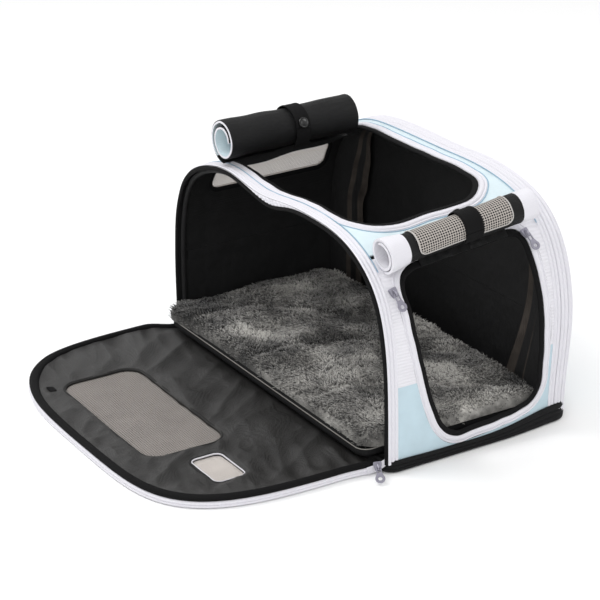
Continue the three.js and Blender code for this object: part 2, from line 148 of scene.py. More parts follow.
def turn_at_x(x):
    return np.arccos(np.sign(x) * (np.abs(x) / HALF) ** (ARCH_POWER / 2)) / np.pi


def near_wall(y, z, inset):
    return arch(turn_at_height(y, z), inset, y)


def far_wall(y, z, inset):
    return arch(1 - turn_at_height(y, z), inset, y)


def roof(x, y, inset):
    return arch(turn_at_x(x), inset, y)


# ---------------------------------------------------------------- materials
SHADER_INPUTS = {"roughness": "Roughness", "metallic": "Metallic", "sheen": "Sheen Weight",
                 "coat": "Coat Weight", "specular": "Specular IOR Level"}


class Look:
    """A material, and short ways to add nodes to its shader."""

    def __init__(self, name, color, **values):
        self.material = bpy.data.materials.new(name)
        self.material.use_nodes = True
        self.tree = self.material.node_tree
        self.shader = self.tree.nodes["Principled BSDF"]
        self.shader.inputs["Base Color"].default_value = (*color, 1)
        self.shader.inputs["Sheen Roughness"].default_value = 0.4
        for key, value in values.items():
            self.shader.inputs[SHADER_INPUTS[key]].default_value = value

    def node(self, kind, inputs, **settings):
        """Outputs of a new node. Each input is a number or another node's output."""
        node = self.tree.nodes.new("ShaderNode" + kind)
        for key, value in settings.items():
            setattr(node, key, value)
        for key, value in inputs.items():
            if isinstance(value, (int, float)):
                node.inputs[key].default_value = value
            else:
                self.tree.links.new(value, node.inputs[key])
        return node.outputs

    def place(self):
        return self.node("TexCoord", {})["Object"]

    def layout(self):
        return self.node("UVMap", {}, uv_map="UVMap")["UV"]

    def wave(self, where, axis, period):
        return self.node("TexWave", {"Scale": math.tau / 20 / period, "Vector": where}, wave_type="BANDS",
                         bands_direction=axis)["Fac"]

    def noise(self, where, size, detail=3.0):
        return self.node("TexNoise", {"Scale": 1 / size, "Detail": detail, "Vector": where})["Fac"]

    def math(self, operation, first, second):
        return self.node("Math", {0: first, 1: second}, operation=operation)[0]

    def weighted(self, first, first_share, second, second_share):
        return self.math("ADD", self.math("MULTIPLY", first, first_share),
                         self.math("MULTIPLY", second, second_share))

    def bump(self, height, distance, below=None):
        inputs = {"Distance": distance, "Strength": 1.0, "Height": height}
        if below is not None:
            inputs["Normal"] = below
        normal = self.node("Bump", inputs)["Normal"]
        self.tree.links.new(normal, self.shader.inputs["Normal"])
        return normal

    def tint(self, factor, stops):
        """Colours the material by a ramp of (place, colour) stops."""
        ramp = self.tree.nodes.new("ShaderNodeValToRGB")
        elements = ramp.color_ramp.elements
        while len(elements) < len(stops):
            elements.new(0.5)
        for element, (place, color) in zip(elements, stops):
            element.position = place
            element.color = (*color, 1)
        self.tree.links.new(factor, ramp.inputs["Fac"])
        self.tree.links.new(ramp.outputs["Color"], self.shader.inputs["Base Color"])


def shade(color, factor):
    return tuple(min(1.0, c * factor) for c in color)


def woven(name, color, roughness, pitch=0.8 * MM, relief=0.12 * MM, sheen=0.25, tone_swing=0.06,
          ribs=None, rib_relief=0.25 * MM, crease=0.0, specular=0.4):
    """Woven cloth: thread waves along all three axes, slow tone changes, optional ribs along an axis, which
    also darken the colour in their grooves as painted shade.
    """
    look = Look(name, color, roughness=roughness, sheen=sheen, specular=specular)
    where = look.place()
    threads = look.math("ADD", look.wave(where, "X", pitch), look.wave(where, "Y", pitch))
    threads = look.math("ADD", threads, look.wave(where, "Z", pitch))
    normal = look.bump(threads, relief)
    tone = look.noise(where, 0.02)
    if ribs:
        rib = look.wave(where, *ribs)
        normal = look.bump(rib, rib_relief, below=normal)
        # Painted shade: the colour follows the ribs and is darker in their grooves.
        tone = look.weighted(tone, 0.5, rib, 0.5)
    if crease:
        look.bump(look.noise(where, 0.035, 2.0), crease, below=normal)
    look.tint(tone, [(0.2, shade(color, 1 - tone_swing)), (0.8, shade(color, 1 + tone_swing))])
    return look.material


def ribbed_tape(name, color, tooth=1.3 * MM, relief=0.25 * MM, roughness=0.6, tone_swing=0.07, sheen=0.3,
                specular=0.35):
    """Zip tape and binding: fine cross ribs that follow the tape along its own length, with painted shade in
    the grooves between them.
    """
    look = Look(name, color, roughness=roughness, sheen=sheen, specular=specular)
    along = look.layout()
    rib = look.wave(along, "X", tooth)
    normal = look.bump(look.noise(along, 0.004), 0.2 * MM)
    look.bump(rib, relief, below=normal)
    # Painted shade: the colour darkens in the grooves between the ribs.
    look.tint(rib, [(0.1, shade(color, 1 - 1.6 * tone_swing)), (0.6, color)])
    return look.material


def plush_material(name, tips):
    """Mottled grey plush, its slow tone partly its own mottle and partly painted light and shade. tips
    brightens the free ends of the pile, held in the UV map's V.
    """
    look = Look(name, (0.15, 0.145, 0.14), roughness=0.9, sheen=0.35, specular=0.2)
    where = look.place()
    streaks = look.noise(where, 0.007, 3.0)
    # Painted light and shade: the slow noise is widened beyond the plush's own mottle to give the pad lit and
    # shaded patches.
    tone = look.weighted(look.noise(where, 0.06, 2.5), 0.78, streaks, 0.22)
    if tips:
        height = look.node("SeparateXYZ", {0: look.layout()})["Y"]
        lift = look.math("MULTIPLY", look.math("SUBTRACT", height, 0.55), 0.42)
        tone = look.math("ADD", tone, lift)
    look.tint(tone, [(0.35, (0.012, 0.012, 0.012)), (0.46, (0.062, 0.060, 0.057)),
                     (0.58, (0.25, 0.243, 0.228)), (0.72, (0.60, 0.582, 0.545))])
    look.bump(streaks, 1.2 * MM)
    return look.material


def netting_material(name, strand, gap, pitch):
    """Square net drawn on cloth: pale strands over dark holes, laid out by the UV map in metres."""
    look = Look(name, strand, roughness=0.6, sheen=0.1, specular=0.3)
    split = look.node("SeparateXYZ", {0: look.layout()})
    strands = [look.math("MULTIPLY", look.math("PINGPONG", split[axis], pitch / 2), 2 / pitch)
               for axis in "XY"]
    weave = look.math("MAXIMUM", *strands)
    look.tint(weave, [(0.64, gap), (0.76, strand)])
    look.bump(weave, 0.5 * MM)
    return look.material


def smooth_material(name, color, roughness, metallic):
    """Lacquer, metal and board: almost even, with a very fine grain."""
    look = Look(name, color, roughness=roughness, metallic=metallic, coat=0.3)
    grain = look.noise(look.place(), 0.002)
    look.bump(grain, 0.05 * MM)
    look.tint(grain, [(0.3, shade(color, 0.93)), (0.7, color)])
    return look.material


BLUE = (0.52, 0.66, 0.73)
# The roof's blue is the same pale blue nylon painted lighter: painted light for the roof, which faces the
# light from above.
LIT_ROOF_BLUE = (0.66, 0.775, 0.82)
WHITE = (0.78, 0.77, 0.815)
MATERIALS = {
    "blue": woven("pale_blue_nylon", BLUE, 0.6, crease=1.2 * MM),
    "roof": woven("pale_blue_nylon_lit_roof", LIT_ROOF_BLUE, 0.6, crease=1.2 * MM),
    "white_z": woven("white_ribbed_upright", WHITE, 0.65, ribs=("Z", 3.3 * MM), tone_swing=0.04,
                     crease=0.5 * MM),
    "white_tape": ribbed_tape("white_zip_tape", (0.78, 0.77, 0.82)),
    # The seam cords' blue is the pale blue darkened: their stitching, with painted shade of the seam's
    # groove.
    "seam": woven("blue_seam_thread_and_shade", (0.26, 0.42, 0.55), 0.7),
    "black": woven("black_polyester", (0.0060, 0.0060, 0.0065), 0.75, sheen=0.0, crease=0.7 * MM,
                   specular=0.2),
    "binding": ribbed_tape("black_binding_tape", (0.0050, 0.0048, 0.0052), 0.9 * MM, 0.15 * MM, 0.8, 0.2,
                           0.0, 0.14),
    "cabin": woven("black_cabin_lining", (0.0060, 0.0060, 0.0064), 0.62, sheen=0.0, crease=3.0 * MM,
                   specular=0.3),
    "satin": woven("black_satin", (0.0048, 0.0048, 0.0052), 0.5, sheen=0.0, crease=1.6 * MM, specular=0.2),
    "lining": woven("door_lining_sheen", (0.016, 0.0152, 0.0146), 0.4, sheen=0.0, crease=0.9 * MM,
                    specular=0.5),
    "trim": ribbed_tape("door_window_binding", (0.011, 0.0105, 0.010), 0.9 * MM, 0.15 * MM, 0.6, 0.2,
                        0.0, 0.3),
    # Painted shade: a dark sheet under the door window's net stands for the shade seen through its holes.
    "shade_sheet": woven("painted_shade_sheet", (0.060, 0.055, 0.052), 0.8, sheen=0.0, specular=0.1),
    "net": woven("taupe_netting", (0.30, 0.27, 0.25), 0.7, tone_swing=0.1),
    "gusset_net": woven("shaded_netting", (0.046, 0.039, 0.034), 0.75, sheen=0.0, tone_swing=0.5,
                        crease=1.5 * MM, specular=0.1),
    "pale_net": woven("beige_netting", (0.66, 0.61, 0.57), 0.7, tone_swing=0.06),
    "roll_net": netting_material("rolled_netting", (0.48, 0.44, 0.405), (0.008, 0.008, 0.008), 2.8 * MM),
    "piping": woven("pale_piping", (0.50, 0.48, 0.46), 0.6),
    # Painted highlight: a pale cord on the black board cover's rim stands for the light on its edge.
    "mat_piping": woven("board_edge_painted_highlight", (0.22, 0.21, 0.19), 0.6),
    "plush": plush_material("grey_plush_base", False),
    "pile": plush_material("grey_plush_pile", True),
    "lacquer": smooth_material("lilac_lacquer", (0.30, 0.29, 0.35), 0.3, 0.5),
    "wire": smooth_material("sheathed_wire", (0.008, 0.008, 0.008), 0.5, 0.0),
    "snap": smooth_material("black_snap", (0.012, 0.012, 0.012), 0.3, 0.3),
    "board": smooth_material("base_board", (0.05, 0.05, 0.055), 0.7, 0.0),
}

# Slot names for each cloth, unless a piece names another; no piece is given its slot here.
SLOT_CLOTHS = {
    "black_fabric": ("black", "binding", "cabin", "satin", "trim", "mat_piping"),
    "white_ribbed_fabric": ("white_z", "white_tape"),
    "pale_blue_fabric": ("blue", "roof", "seam", "piping"),
    "taupe_mesh": ("net", "shade_sheet", "roll_net"),
    "pale_mesh": ("pale_net",),
    "black_lining": ("lining",),
    "plush": ("plush", "pile"),
    "spring_wire": ("wire",),
    "zip_metal": ("lacquer", "snap"),
}
SLOT_OF = {cloth: slot for slot, cloths in SLOT_CLOTHS.items() for cloth in cloths}


# ---------------------------------------------------------------- mesh building
def join_piece(name, mesh, work, sharp, body, replaces, slot):
    """Fills a mesh from a bmesh, with outward faces and soft edges below the sharp angle, and rides it."""
    bmesh.ops.recalc_face_normals(work, faces=work.faces)
    limit = math.radians(sharp)
    for edge in work.edges:
        edge.smooth = not (len(edge.link_faces) == 2 and edge.calc_face_angle(0) > limit)
    for face in work.faces:
        face.smooth = True
    work.to_mesh(mesh)
    work.free()
    piece = bpy.data.objects.new(name, mesh)
    bpy.context.scene.collection.objects.link(piece)
    if body:
        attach(piece, body)
    if replaces:
        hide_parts(replaces)
    return piece


def finish_piece(name, vertices, faces, cloth, slots=(0,), uvs=(), sharp=50, body="carrier",
                 replaces=None, slot=None):
    """Makes one closed piece. cloth is a key of MATERIALS, or a key for each value in slots."""
    mesh = bpy.data.meshes.new(name)
    mesh.from_pydata([tuple(v) for v in vertices], [], faces)
    cloths = (cloth,) * (max(slots) + 1) if isinstance(cloth, str) else cloth
    for key in cloths:
        mesh.materials.append(MATERIALS[key])
    if len(slots) == len(faces):
        mesh.polygons.foreach_set("material_index", np.asarray(slots, np.int32))
    if uvs:
        layer = mesh.uv_layers.new(name="UVMap")
        layer.data.foreach_set("uv", np.asarray(uvs, np.float32).ravel())
    work = bmesh.new()
    work.from_mesh(mesh)
    return join_piece(name, mesh, work, sharp, body, replaces, slot or SLOT_OF[cloths[0]])


def circle(count):
    """Angles that lie evenly round a full turn."""
    return np.linspace(0, math.tau, count, endpoint=False)


def oval(count, wide, tall, middle=(0, 0), start=0.0):
    """Points of a closed round section."""
    return [(middle[0] + wide * math.cos(a), middle[1] + tall * math.sin(a)) for a in start + circle(count)]


def running_length(points, closed):
    steps = np.linalg.norm(np.diff(points, axis=0), axis=1)
    total = np.concatenate([[0], np.cumsum(steps)])
    if closed:
        total = np.append(total, total[-1] + np.linalg.norm(points[-1] - points[0]))
    return total


def swept(name, rings, closed=False, material_of=None, **facts):
    """Skins stations x profile points into one closed body. material_of(j) picks a material slot."""
    stations, count = rings.shape[:2]
    along = running_length(rings[:, 0], closed)
    round_ = running_length(rings[stations // 2], True)
    faces, uvs, slots = [], [], []
    spans = stations if closed else stations - 1
    for s in range(spans):
        t = (s + 1) % stations
        for j in range(count):
            k = (j + 1) % count
            faces.append((s * count + j, t * count + j, t * count + k, s * count + k))
            uvs += [(along[s], round_[j]), (along[s + 1], round_[j]),
                    (along[s + 1], round_[j + 1]), (along[s], round_[j + 1])]
            slots.append(material_of(j) if material_of else 0)
    if not closed:
        for s in (0, stations - 1):
            faces.append(tuple(s * count + j for j in range(count)))
            uvs += [(along[s], round_[j]) for j in range(count)]
            slots.append(material_of(0) if material_of else 0)
    return finish_piece(name, rings.reshape(-1, 3), faces, slots=slots, uvs=uvs, **facts)


def inside_loop(points, loop):
    x, y = points[:, 0], points[:, 1]
    hit = np.zeros(len(points), bool)
    for (x0, y0), (x1, y1) in zip(loop, np.roll(loop, -1, axis=0)):
        if y0 != y1:
            crosses = (y0 > y) != (y1 > y)
            hit ^= crosses & (x < (x1 - x0) * (y - y0) / (y1 - y0) + x0)
    return hit


def resample(loop, step):
    """Points about a step apart round a closed loop, with its sharp corners kept."""
    loop = np.asarray(loop, float)
    before, after = loop - np.roll(loop, 1, axis=0), np.roll(loop, -1, axis=0) - loop
    turning = np.arctan2(before[:, 0] * after[:, 1] - before[:, 1] * after[:, 0], np.sum(before * after, 1))
    corners = np.flatnonzero(np.abs(turning) > math.radians(28))
    if len(corners):
        loop = np.roll(loop, -corners[0], axis=0)
        corners = corners - corners[0]
    else:
        corners = np.array([0])
    total = running_length(loop, True)
    ends = np.append(total[corners], total[-1])
    wrapped = np.vstack([loop, loop[:1]])
    places = np.concatenate([np.linspace(low, high, max(1, int(round((high - low) / step))), endpoint=False)
                             for low, high in zip(ends, ends[1:]) if high - low > 1e-7])
    return np.stack([np.interp(places, total, wrapped[:, i]) for i in (0, 1)], 1)


def inner_grid(loops, step):
    """Points a step apart in staggered rows, inside the first loop and outside the others."""
    edge = np.vstack(loops)
    low, high = edge.min(0), edge.max(0)
    rows = np.arange(low[1] + step / 2, high[1], step * 0.87)
    grid = np.array([(x + (i % 2) * step / 2, y) for i, y in enumerate(rows)
                     for x in np.arange(low[0], high[0], step)])
    keep = inside_loop(grid, loops[0])
    for hole in loops[1:]:
        keep &= ~inside_loop(grid, hole)
    grid = grid[keep]
    near = np.array([np.min(np.sum((edge - p) ** 2, 1)) for p in grid])
    return grid[near > (0.55 * step) ** 2]


def fill_outline(outer, holes, step=None):
    """Triangles over a flat outline with holes. With a step the loops are evened and the inside filled."""
    loops = [resample(loop, step) if step else np.asarray(loop, float) for loop in (outer, *holes)]
    edge = np.vstack(loops)
    grid = inner_grid(loops, step) if step else np.zeros((0, 2))
    pairs, start = [], 0
    for loop in loops:
        n = len(loop)
        pairs += [(start + i, start + (i + 1) % n) for i in range(n)]
        start += n
    flat = [Vector(p) for p in np.vstack([edge, grid])]
    found = delaunay_2d_cdt(flat, pairs, [], 0, 1e-7)
    points = np.array([tuple(v) for v in found[0]])
    triangles = np.array([tuple(f) for f in found[2]])
    middle = points[triangles].mean(1)
    keep = inside_loop(middle, loops[0])
    for hole in loops[1:]:
        keep &= ~inside_loop(middle, hole)
    return points, triangles[keep]


def rim_edges(triangles):
    """Edges that only one triangle has."""
    edges = {edge: True for a, b, c in triangles for edge in ((a, b), (b, c), (c, a))}
    return [(a, b) for a, b in edges if (b, a) not in edges]


def edge_distance(points, loops):
    edge = np.vstack([resample(loop, 2 * MM) for loop in loops])
    return np.array([math.sqrt(np.min(np.sum((edge - p) ** 2, 1))) for p in points])


def panel(name, outer, holes, step, place, thickness=CLOTH, puff=None, rim_slot=1, pale_rim=None, **facts):
    """A cloth panel with an outer and an inner face. place(u, v, inset) gives points in space.
    pale_rim is an opening: only rims that lie away from it take the outer face's cloth."""
    points, triangles = fill_outline(outer, holes, step)
    used = np.unique(triangles)
    renumber = np.zeros(len(points), int)
    renumber[used] = np.arange(len(used))
    points, triangles = points[used], renumber[triangles]
    lift = puff(points[:, 0], points[:, 1], edge_distance(points, (outer, *holes))) if puff else 0
    lift = lift + np.zeros(len(points))
    top = place(points[:, 0], points[:, 1], 0 - lift)
    bottom = place(points[:, 0], points[:, 1], thickness - 0.6 * lift)
    count = len(points)
    rim = rim_edges(triangles)
    faces = [tuple(t) for t in triangles]
    faces += [tuple(count + i for i in t[::-1]) for t in triangles]
    faces += [(b, a, count + a, count + b) for a, b in rim]
    slots = [0] * len(triangles) + [1] * len(triangles)
    if pale_rim is None:
        slots += [rim_slot] * len(rim)
    else:
        middles = np.array([(points[a] + points[b]) / 2 for a, b in rim])
        slots += [int(d < 2 * MM) for d in edge_distance(middles, (pale_rim,))]
    uvs = []
    both = np.vstack([points, points])
    for face in faces:
        uvs += [both[i] for i in face]
    return finish_piece(name, np.vstack([top, bottom]), faces, slots=slots, uvs=uvs, **facts)


def loop_normals(loop):
    before = loop - np.roll(loop, 1, axis=0)
    after = np.roll(loop, -1, axis=0) - loop
    before /= np.linalg.norm(before, axis=1)[:, None]
    after /= np.linalg.norm(after, axis=1)[:, None]
    normal = np.stack([before[:, 1] + after[:, 1], -before[:, 0] - after[:, 0]], 1)
    return normal / np.linalg.norm(normal, axis=1)[:, None]


def outset(loop, distance):
    """The loop moved outwards. Corners stay rounded because the loops here are smooth."""
    return loop + loop_normals(loop) * distance


def edging(name, loop, profile, place, step=2.5 * MM, waver=0.0, seed=1, **facts):
    """A tape or binding round an opening. profile is its closed section: (outset, inset) in millimetres."""
    loop = resample(loop, step)
    normal = loop_normals(loop)
    drift = waver * ripple(loop[:, 0], loop[:, 1], 0.03, seed)
    rings = []
    for out, inset in profile:
        spot = loop + normal * (out * MM + drift[:, None])
        rings.append(place(spot[:, 0], spot[:, 1], np.full(len(spot), inset * MM)))
    return swept(name, np.stack(rings, 1), closed=True, **facts)


def rounded_rectangle(left, right, low, high, radii, steps=8):
    """Anticlockwise loop. radii: low-left, low-right, high-right, high-left."""
    if isinstance(radii, float):
        radii = (radii,) * 4
    corners = [(left, low, 1, 1, radii[0], 180), (right, low, -1, 1, radii[1], 270),
               (right, high, -1, -1, radii[2], 0), (left, high, 1, -1, radii[3], 90)]
    points = []
    for x, y, sx, sy, r, start in corners:
        for i in range(steps + 1):
            angle = math.radians(start + 90 * i / steps)
            points.append((x + sx * r + r * math.cos(angle), y + sy * r + r * math.sin(angle)))
    return np.array(points)


def quadratic(start, control, end, steps=10):
    t = np.linspace(0, 1, steps, endpoint=False)[:, None]
    start, control, end = (np.array(p, float) for p in (start, control, end))
    return (1 - t) ** 2 * start + 2 * t * (1 - t) * control + t ** 2 * end


def ribs(start, end, count, rise, groove=0.5 * MM):
    """Profile points (across, inset) of rounded ribs side by side."""
    points = []
    width = (end - start) / count
    for i in range(count):
        low, high = start + i * width, start + (i + 1) * width
        for share in (0.0, 0.1, 0.3, 0.5, 0.7, 0.9):
            height = rise * math.sin(math.pi * min(max(share, 0.04), 0.96)) ** 0.5
            points.append((low + (high - low - groove) * share + groove / 2, -height))
        points.append((high - groove / 2, groove * 0.4))
    return points


def even_turns(count, start=0.0, end=1.0):
    """Values of turn that lie evenly along the arch."""
    fine, usual_height = np.linspace(0, 1, 4001), 0.23
    angle = np.pi * fine
    curve = np.stack([HALF * bend(np.cos(angle)), usual_height * bend(np.sin(angle))], 1)
    length = running_length(curve, False)
    low, high = np.interp([start, end], fine, length)
    return np.interp(np.linspace(low, high, count), length, fine)


def arch_band(name, profile, stations=220, waver=None, span=(0, 1), droop=None, **facts):
    """Sweeps a profile of (y, inset) points over the arch, foot to foot unless span says less."""
    turn = even_turns(stations, *span)
    lower = droop(turn) if droop else 0
    shift = waver(turn) if waver else 0
    rings = [arch(turn, np.full(stations, inset) + lower, np.full(stations, y) + shift)
             for y, inset in profile]
    return swept(name, np.stack(rings, 1), **facts)


# ---------------------------------------------------------------- camera, light and floor
def build_camera():
    """One long-lens camera, at the viewing angle and slightly rolled."""
    azimuth, elevation, roll = map(math.radians, (58.976, 22.817, -0.971))
    distance, shift_across, shift_up = 2.2486, 0.06353, 0.030297
    back = Vector((math.sin(azimuth) * math.cos(elevation), -math.cos(azimuth) * math.cos(elevation),
                   math.sin(elevation)))
    right = Vector((math.cos(azimuth), math.sin(azimuth), 0))
    up = back.cross(right)
    across = right * math.cos(roll) + up * math.sin(roll)
    above = -right * math.sin(roll) + up * math.cos(roll)
    target = Vector((0, -0.010, 0.120))
    place = target + back * distance - across * shift_across - above * shift_up
    camera = bpy.data.objects.new("camera", bpy.data.cameras.new("camera"))
    bpy.context.scene.collection.objects.link(camera)
    camera.matrix_world = Matrix.Translation(place) @ Matrix((across, above, back)).transposed().to_4x4()
    camera.data.sensor_width = 36
    camera.data.lens = 124.31
    camera.data.clip_end = 20
    bpy.context.scene.camera = camera


def build_lights():
    """A white surround and three soft lamps that face the carrier."""
    world = bpy.data.worlds.new("studio")
    world.use_nodes = True
    background = world.node_tree.nodes["Background"]
    background.inputs["Color"].default_value = (1, 1, 1, 1)
    background.inputs["Strength"].default_value = 0.75
    bpy.context.scene.world = world
    bpy.context.scene.view_settings.view_transform = "Standard"
    middle = Vector((0, 0, 0.1))
    for name, spot, size, power in (("key", (-0.9, -1.1, 1.9), 1.4, 26), ("fill", (1.6, -1.0, 1.3), 1.6, 13),
                                    ("rim", (0.4, 1.6, 1.7), 1.4, 12)):
        lamp = bpy.data.objects.new(name, bpy.data.lights.new(name, "AREA"))
        lamp.data.energy = power
        lamp.data.size = size
        lamp.location = spot
        lamp.rotation_euler = (middle - Vector(spot)).to_track_quat("-Z", "Y").to_euler()
        bpy.context.scene.collection.objects.link(lamp)


def build_floor():
    """A pale floor for the shadow, which is stage only."""
    half = 9
    corners = [(-half, -half, 0), (half, -half, 0), (half, half, 0), (-half, half, 0)]
    mesh = bpy.data.meshes.new("floor")
    mesh.from_pydata(corners, [], [(0, 1, 2, 3)])
    mesh.materials.append(Look("floor", (0.93, 0.93, 0.93), roughness=0.9, specular=0.1).material)
    floor = bpy.data.objects.new("floor", mesh)
    bpy.context.scene.collection.objects.link(floor)


# ---------------------------------------------------------------- base
def band_height(y):
    """The black band round the base stands higher towards the rear."""
    return (12 + 2.5 * (1 - smooth(y, FRONT, -0.05)) + 9 * smooth(y, -0.01, REAR - 0.01)) * MM


def base_outline(grow=0.0, count=320):
    loop = rounded_rectangle(-HALF, HALF, FRONT, REAR + 0.5 * MM, (12 * MM, 12 * MM, 20 * MM, 9 * MM), 14)
    loop = outset(resample(loop, running_length(loop, True)[-1] / count), grow)
    return loop - draw_in(loop[:, 0], loop[:, 1], 0)[:, None] * CORNER_DRAW


def build_base():
    """Black tray: piped band that stands higher towards the rear corners, and a flat underside."""
    loop = base_outline()
    normal = loop_normals(loop)
    tall = band_height(loop[:, 1]) * (1 - 0.05 * ripple(loop[:, 0], loop[:, 1], 0.1, 5))
    profile = [(-40, 0.02), (-1.5, 0.0), (0.2, 0.06), (1.4, 0.14), (2.6, 0.22), (3.0, 0.28), (2.1, 0.35),
               (3.1, 0.42), (3.4, 0.50), (3.1, 0.57), (2.2, 0.63), (3.2, 0.72), (3.5, 0.80), (3.2, 0.90),
               (2.4, 0.98), (1.2, 1.0), (0.2, 0.97), (-0.4, 0.5), (-1.0, 0.26), (-40, 0.24)]
    off_floor, low_share, low_height = 0.3 * MM, 0.25, 6 * MM
    rings = []
    for out, share in profile:
        height = tall if share > low_share else np.full(len(loop), low_height)
        rings.append(np.column_stack([loop + normal * out * MM, off_floor + height * share]))
    swept("base_band", np.stack(rings, 1), closed=True, cloth="black", replaces="base_tray")
    inner = base_outline(-39 * MM)
    flat = lambda u, v, inset: np.stack([u, v, 1.9 * MM - inset], -1)
    panel("base_underside", inner, [], 12 * MM, flat, thickness=1.4 * MM, cloth="black",
          replaces="base_tray")
    low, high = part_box("floor_lining")
    quilt = rounded_rectangle(low[0], high[0], low[1], high[1], 10 * MM)
    top = lambda u, v, inset: np.stack([u, v, high[2] - 1.2 * MM - inset], -1)
    crowned = lambda u, v, d: 1.2 * MM * (1 - np.exp(-d / 0.01)) - 0.5 * MM * np.exp(
        -(np.abs((u / 0.1 + 0.5) % 1 - 0.5) * 0.1 / 0.003) ** 2)
    floor = panel("floor_pad", quilt, [], 6 * MM, top, thickness=high[2] - low[2] - 1.4 * MM, puff=crowned,
                  cloth="cabin", replaces="floor_lining", slot="black_lining")


# ---------------------------------------------------------------- front arch
def build_front_arch():
    depth = 2.6 * MM
    outer = ribs(FRONT, BAND_END, 3, 1.3 * MM)
    arch_band("front_zip_rows", outer + [(BAND_END, depth), (FRONT, depth)], cloth=("white_tape", "cabin"),
              material_of=lambda j: int(j > len(outer) - 2), replaces="front_arch_zip_band")
    face = FRONT - 0.4 * MM
    section = [(0.4, 0.2), (-0.6, 0.3), (-1.4, 0.9), (-1.8, 1.9), (-1.7, 3.0), (-1.3, 4.0), (-0.5, 4.7),
               (0.3, 4.9), (0.4, 3.4)]
    section = [(face + y * MM, inset * MM) for y, inset in section]
    hoop("front_hoop", FRONT + 6 * MM, "carrier")
    slump = lambda turn: 0.3 * MM * np.sin(turn * 40) * np.sin(turn * 17)
    arch_band("front_binding_sleeve", section, waver=slump, droop=slack_front, cloth="binding",
              replaces="front_arch_binding")
    build_crumple()
    # Seam cords in the darker blue: their stitching, darkened as painted shade of the seam's groove.
    for name, y in (("front_seam_thread_and_shade", BAND_END + 0.2 * MM), ("rear_seam_thread_and_shade", REAR_SEAM + 0.1 * MM)):
        cord = oval(6, 0.45 * MM, 0.5 * MM, (y, -0.9 * MM))
        arch_band(name, cord, stations=140, span=(0.26, 0.74), cloth="seam")


def slack_front(turn):
    """The front band's cloth hangs loose at the roof's dip, so its binding droops there."""
    x = HALF * bend(np.cos(np.pi * turn))
    return SLACK * np.exp(-((x - SLACK_AT) / 0.034) ** 2) * smooth(np.sin(np.pi * turn), 0.5, 0.8)


def build_crumple():
    """The loose white cloth between the front band and its drooping binding."""
    turn = even_turns(240, 0.3, 0.72)
    reach = slack_front(turn)
    x = HALF * bend(np.cos(np.pi * turn))
    section = ((0.0, 0.2, 0), (0.25, 0.9, 1), (0.5, 0.5, -1), (0.75, 1.0, 1), (1.0, 0.3, 0), (1.0, -1.4, 0),
               (0.0, -1.4, 0))
    rings = []
    for share, forward, loose in section:
        pucker = 1.2 * loose * np.sin(x / MM * 0.9 + share * 5)
        y = FRONT - (0.2 + (forward - 0.2 + pucker) * reach / SLACK) * MM
        rings.append(arch(turn, share * (reach + 1.0 * MM) - 0.15 * MM, y))
    swept("front_band_crumple", np.stack(rings, 1), cloth="white_tape")


def hoop(name, y, body):
    """A spring wire round the arch, and the black casing that it runs in."""
    wire = oval(8, 1.9 * MM, 1.9 * MM, (y, 6.4 * MM))
    arch_band(name + "_spring", wire, cloth="wire", replaces=name + "_wire", body=body)
    case = oval(8, 3.2 * MM, 2.9 * MM, (y, 6.2 * MM), start=0.2)
    arch_band(name + "_casing", case, cloth="cabin", body=body)


# ---------------------------------------------------------------- openings
TOP_TAPE = [(9.4, 0.4), (9.0, -0.4), (8.0, -1.0), (6.8, -0.7), (6.2, 0.1), (5.6, -0.7), (4.2, -1.5),
            (2.4, -1.5), (1.3, -0.8), (0.9, 0.1), (0.5, -0.6), (0.1, -0.5), (0.1, 2.4), (4, 2.6), (9.4, 2.6)]
END_TAPE = [(8.0, 0.5), (7.8, -0.3), (7.0, -0.7), (6.2, -0.3), (5.8, 0.2), (5.2, -0.5), (3.8, -1.3),
            (1.8, -1.3), (0.7, -0.6), (0.1, -0.2), (0.1, 2.4), (4, 2.6), (8.0, 2.6)]
SLEEVE_PROFILE = [(-0.1, 0.8), (-0.5, 0.3), (-1.4, 0.1), (-3.0, 0.1), (-4.6, 0.4), (-5.6, 1.1),
                  (-5.9, 2.0), (-5.4, 2.9), (-4.4, 3.3), (-2.6, 3.4), (-0.6, 3.2)]


def end_opening_loop():
    """Outline in (y, z) of the near end's opening, wider at its rear, from curves with one control point."""
    ends = [(-28, 20), (50, 28), (77, 58), (71, 198), (52, 214.7), (-62, 206.6), (-88, 175), (-68, 66)]
    controls = [(10, 22), (76, 31), (79, 118), (69, 215.6), (-5, 210.65), (-92, 204.6), (-82, 112),
                (-54, 18)]
    return np.vstack([quadratic(*points) for points in zip(ends, controls, ends[1:] + ends[:1])]) * MM


def top_opening_loop():
    tight, wide = 14 * MM, 46 * MM
    return rounded_rectangle(-125 * MM, 139 * MM, -97 * MM, 70 * MM, (tight, wide, wide, tight))


def wall_depths():
    """Places in y from under the front band to under the rear seam."""
    return np.linspace(BAND_END - SEAM_LAP, REAR_SEAM + 0.7 * MM, 12)


def wall_outline(low, high):
    """Outline in (y, z) of an end wall between two heights, front band to rear seam."""
    y = wall_depths()
    foot = np.column_stack([y, np.maximum(low, band_height(y) - 3 * MM)])
    return np.vstack([foot, [(y[-1], high), (y[0], high)]])


def shoulder_outline(low):
    """Outline in (y, z) of an end wall from a height up to its seam with the roof."""
    y = wall_depths()[::-1]
    z = arch(np.full(len(y), SHOULDER), 0.0, y)[:, 2]
    return np.vstack([[(y[-1], low), (y[0], low)], np.column_stack([y, z])])


def wrinkled(pitch, height, seed, edge=0.012):
    """Cloth that is flat at its seams and gently uneven between them."""
    def puff(u, v, d):
        inner = 1 - np.exp(-d / edge)
        return inner * (0.5 * height + height * 0.5 * ripple(u, v, pitch, seed))
    return puff


def opening_edges(key, opening, tape, place, **drift):
    """The zip tape round an opening, and the binding sleeve along the tape's inner edge."""
    edging(key + "_zip_rows", opening, tape, place, cloth="white_tape", replaces=key + "_door_zip_tape",
           **drift)
    edging(key + "_binding_sleeve", opening, SLEEVE_PROFILE, place, cloth="binding",
           replaces=key + "_opening_binding", **drift)


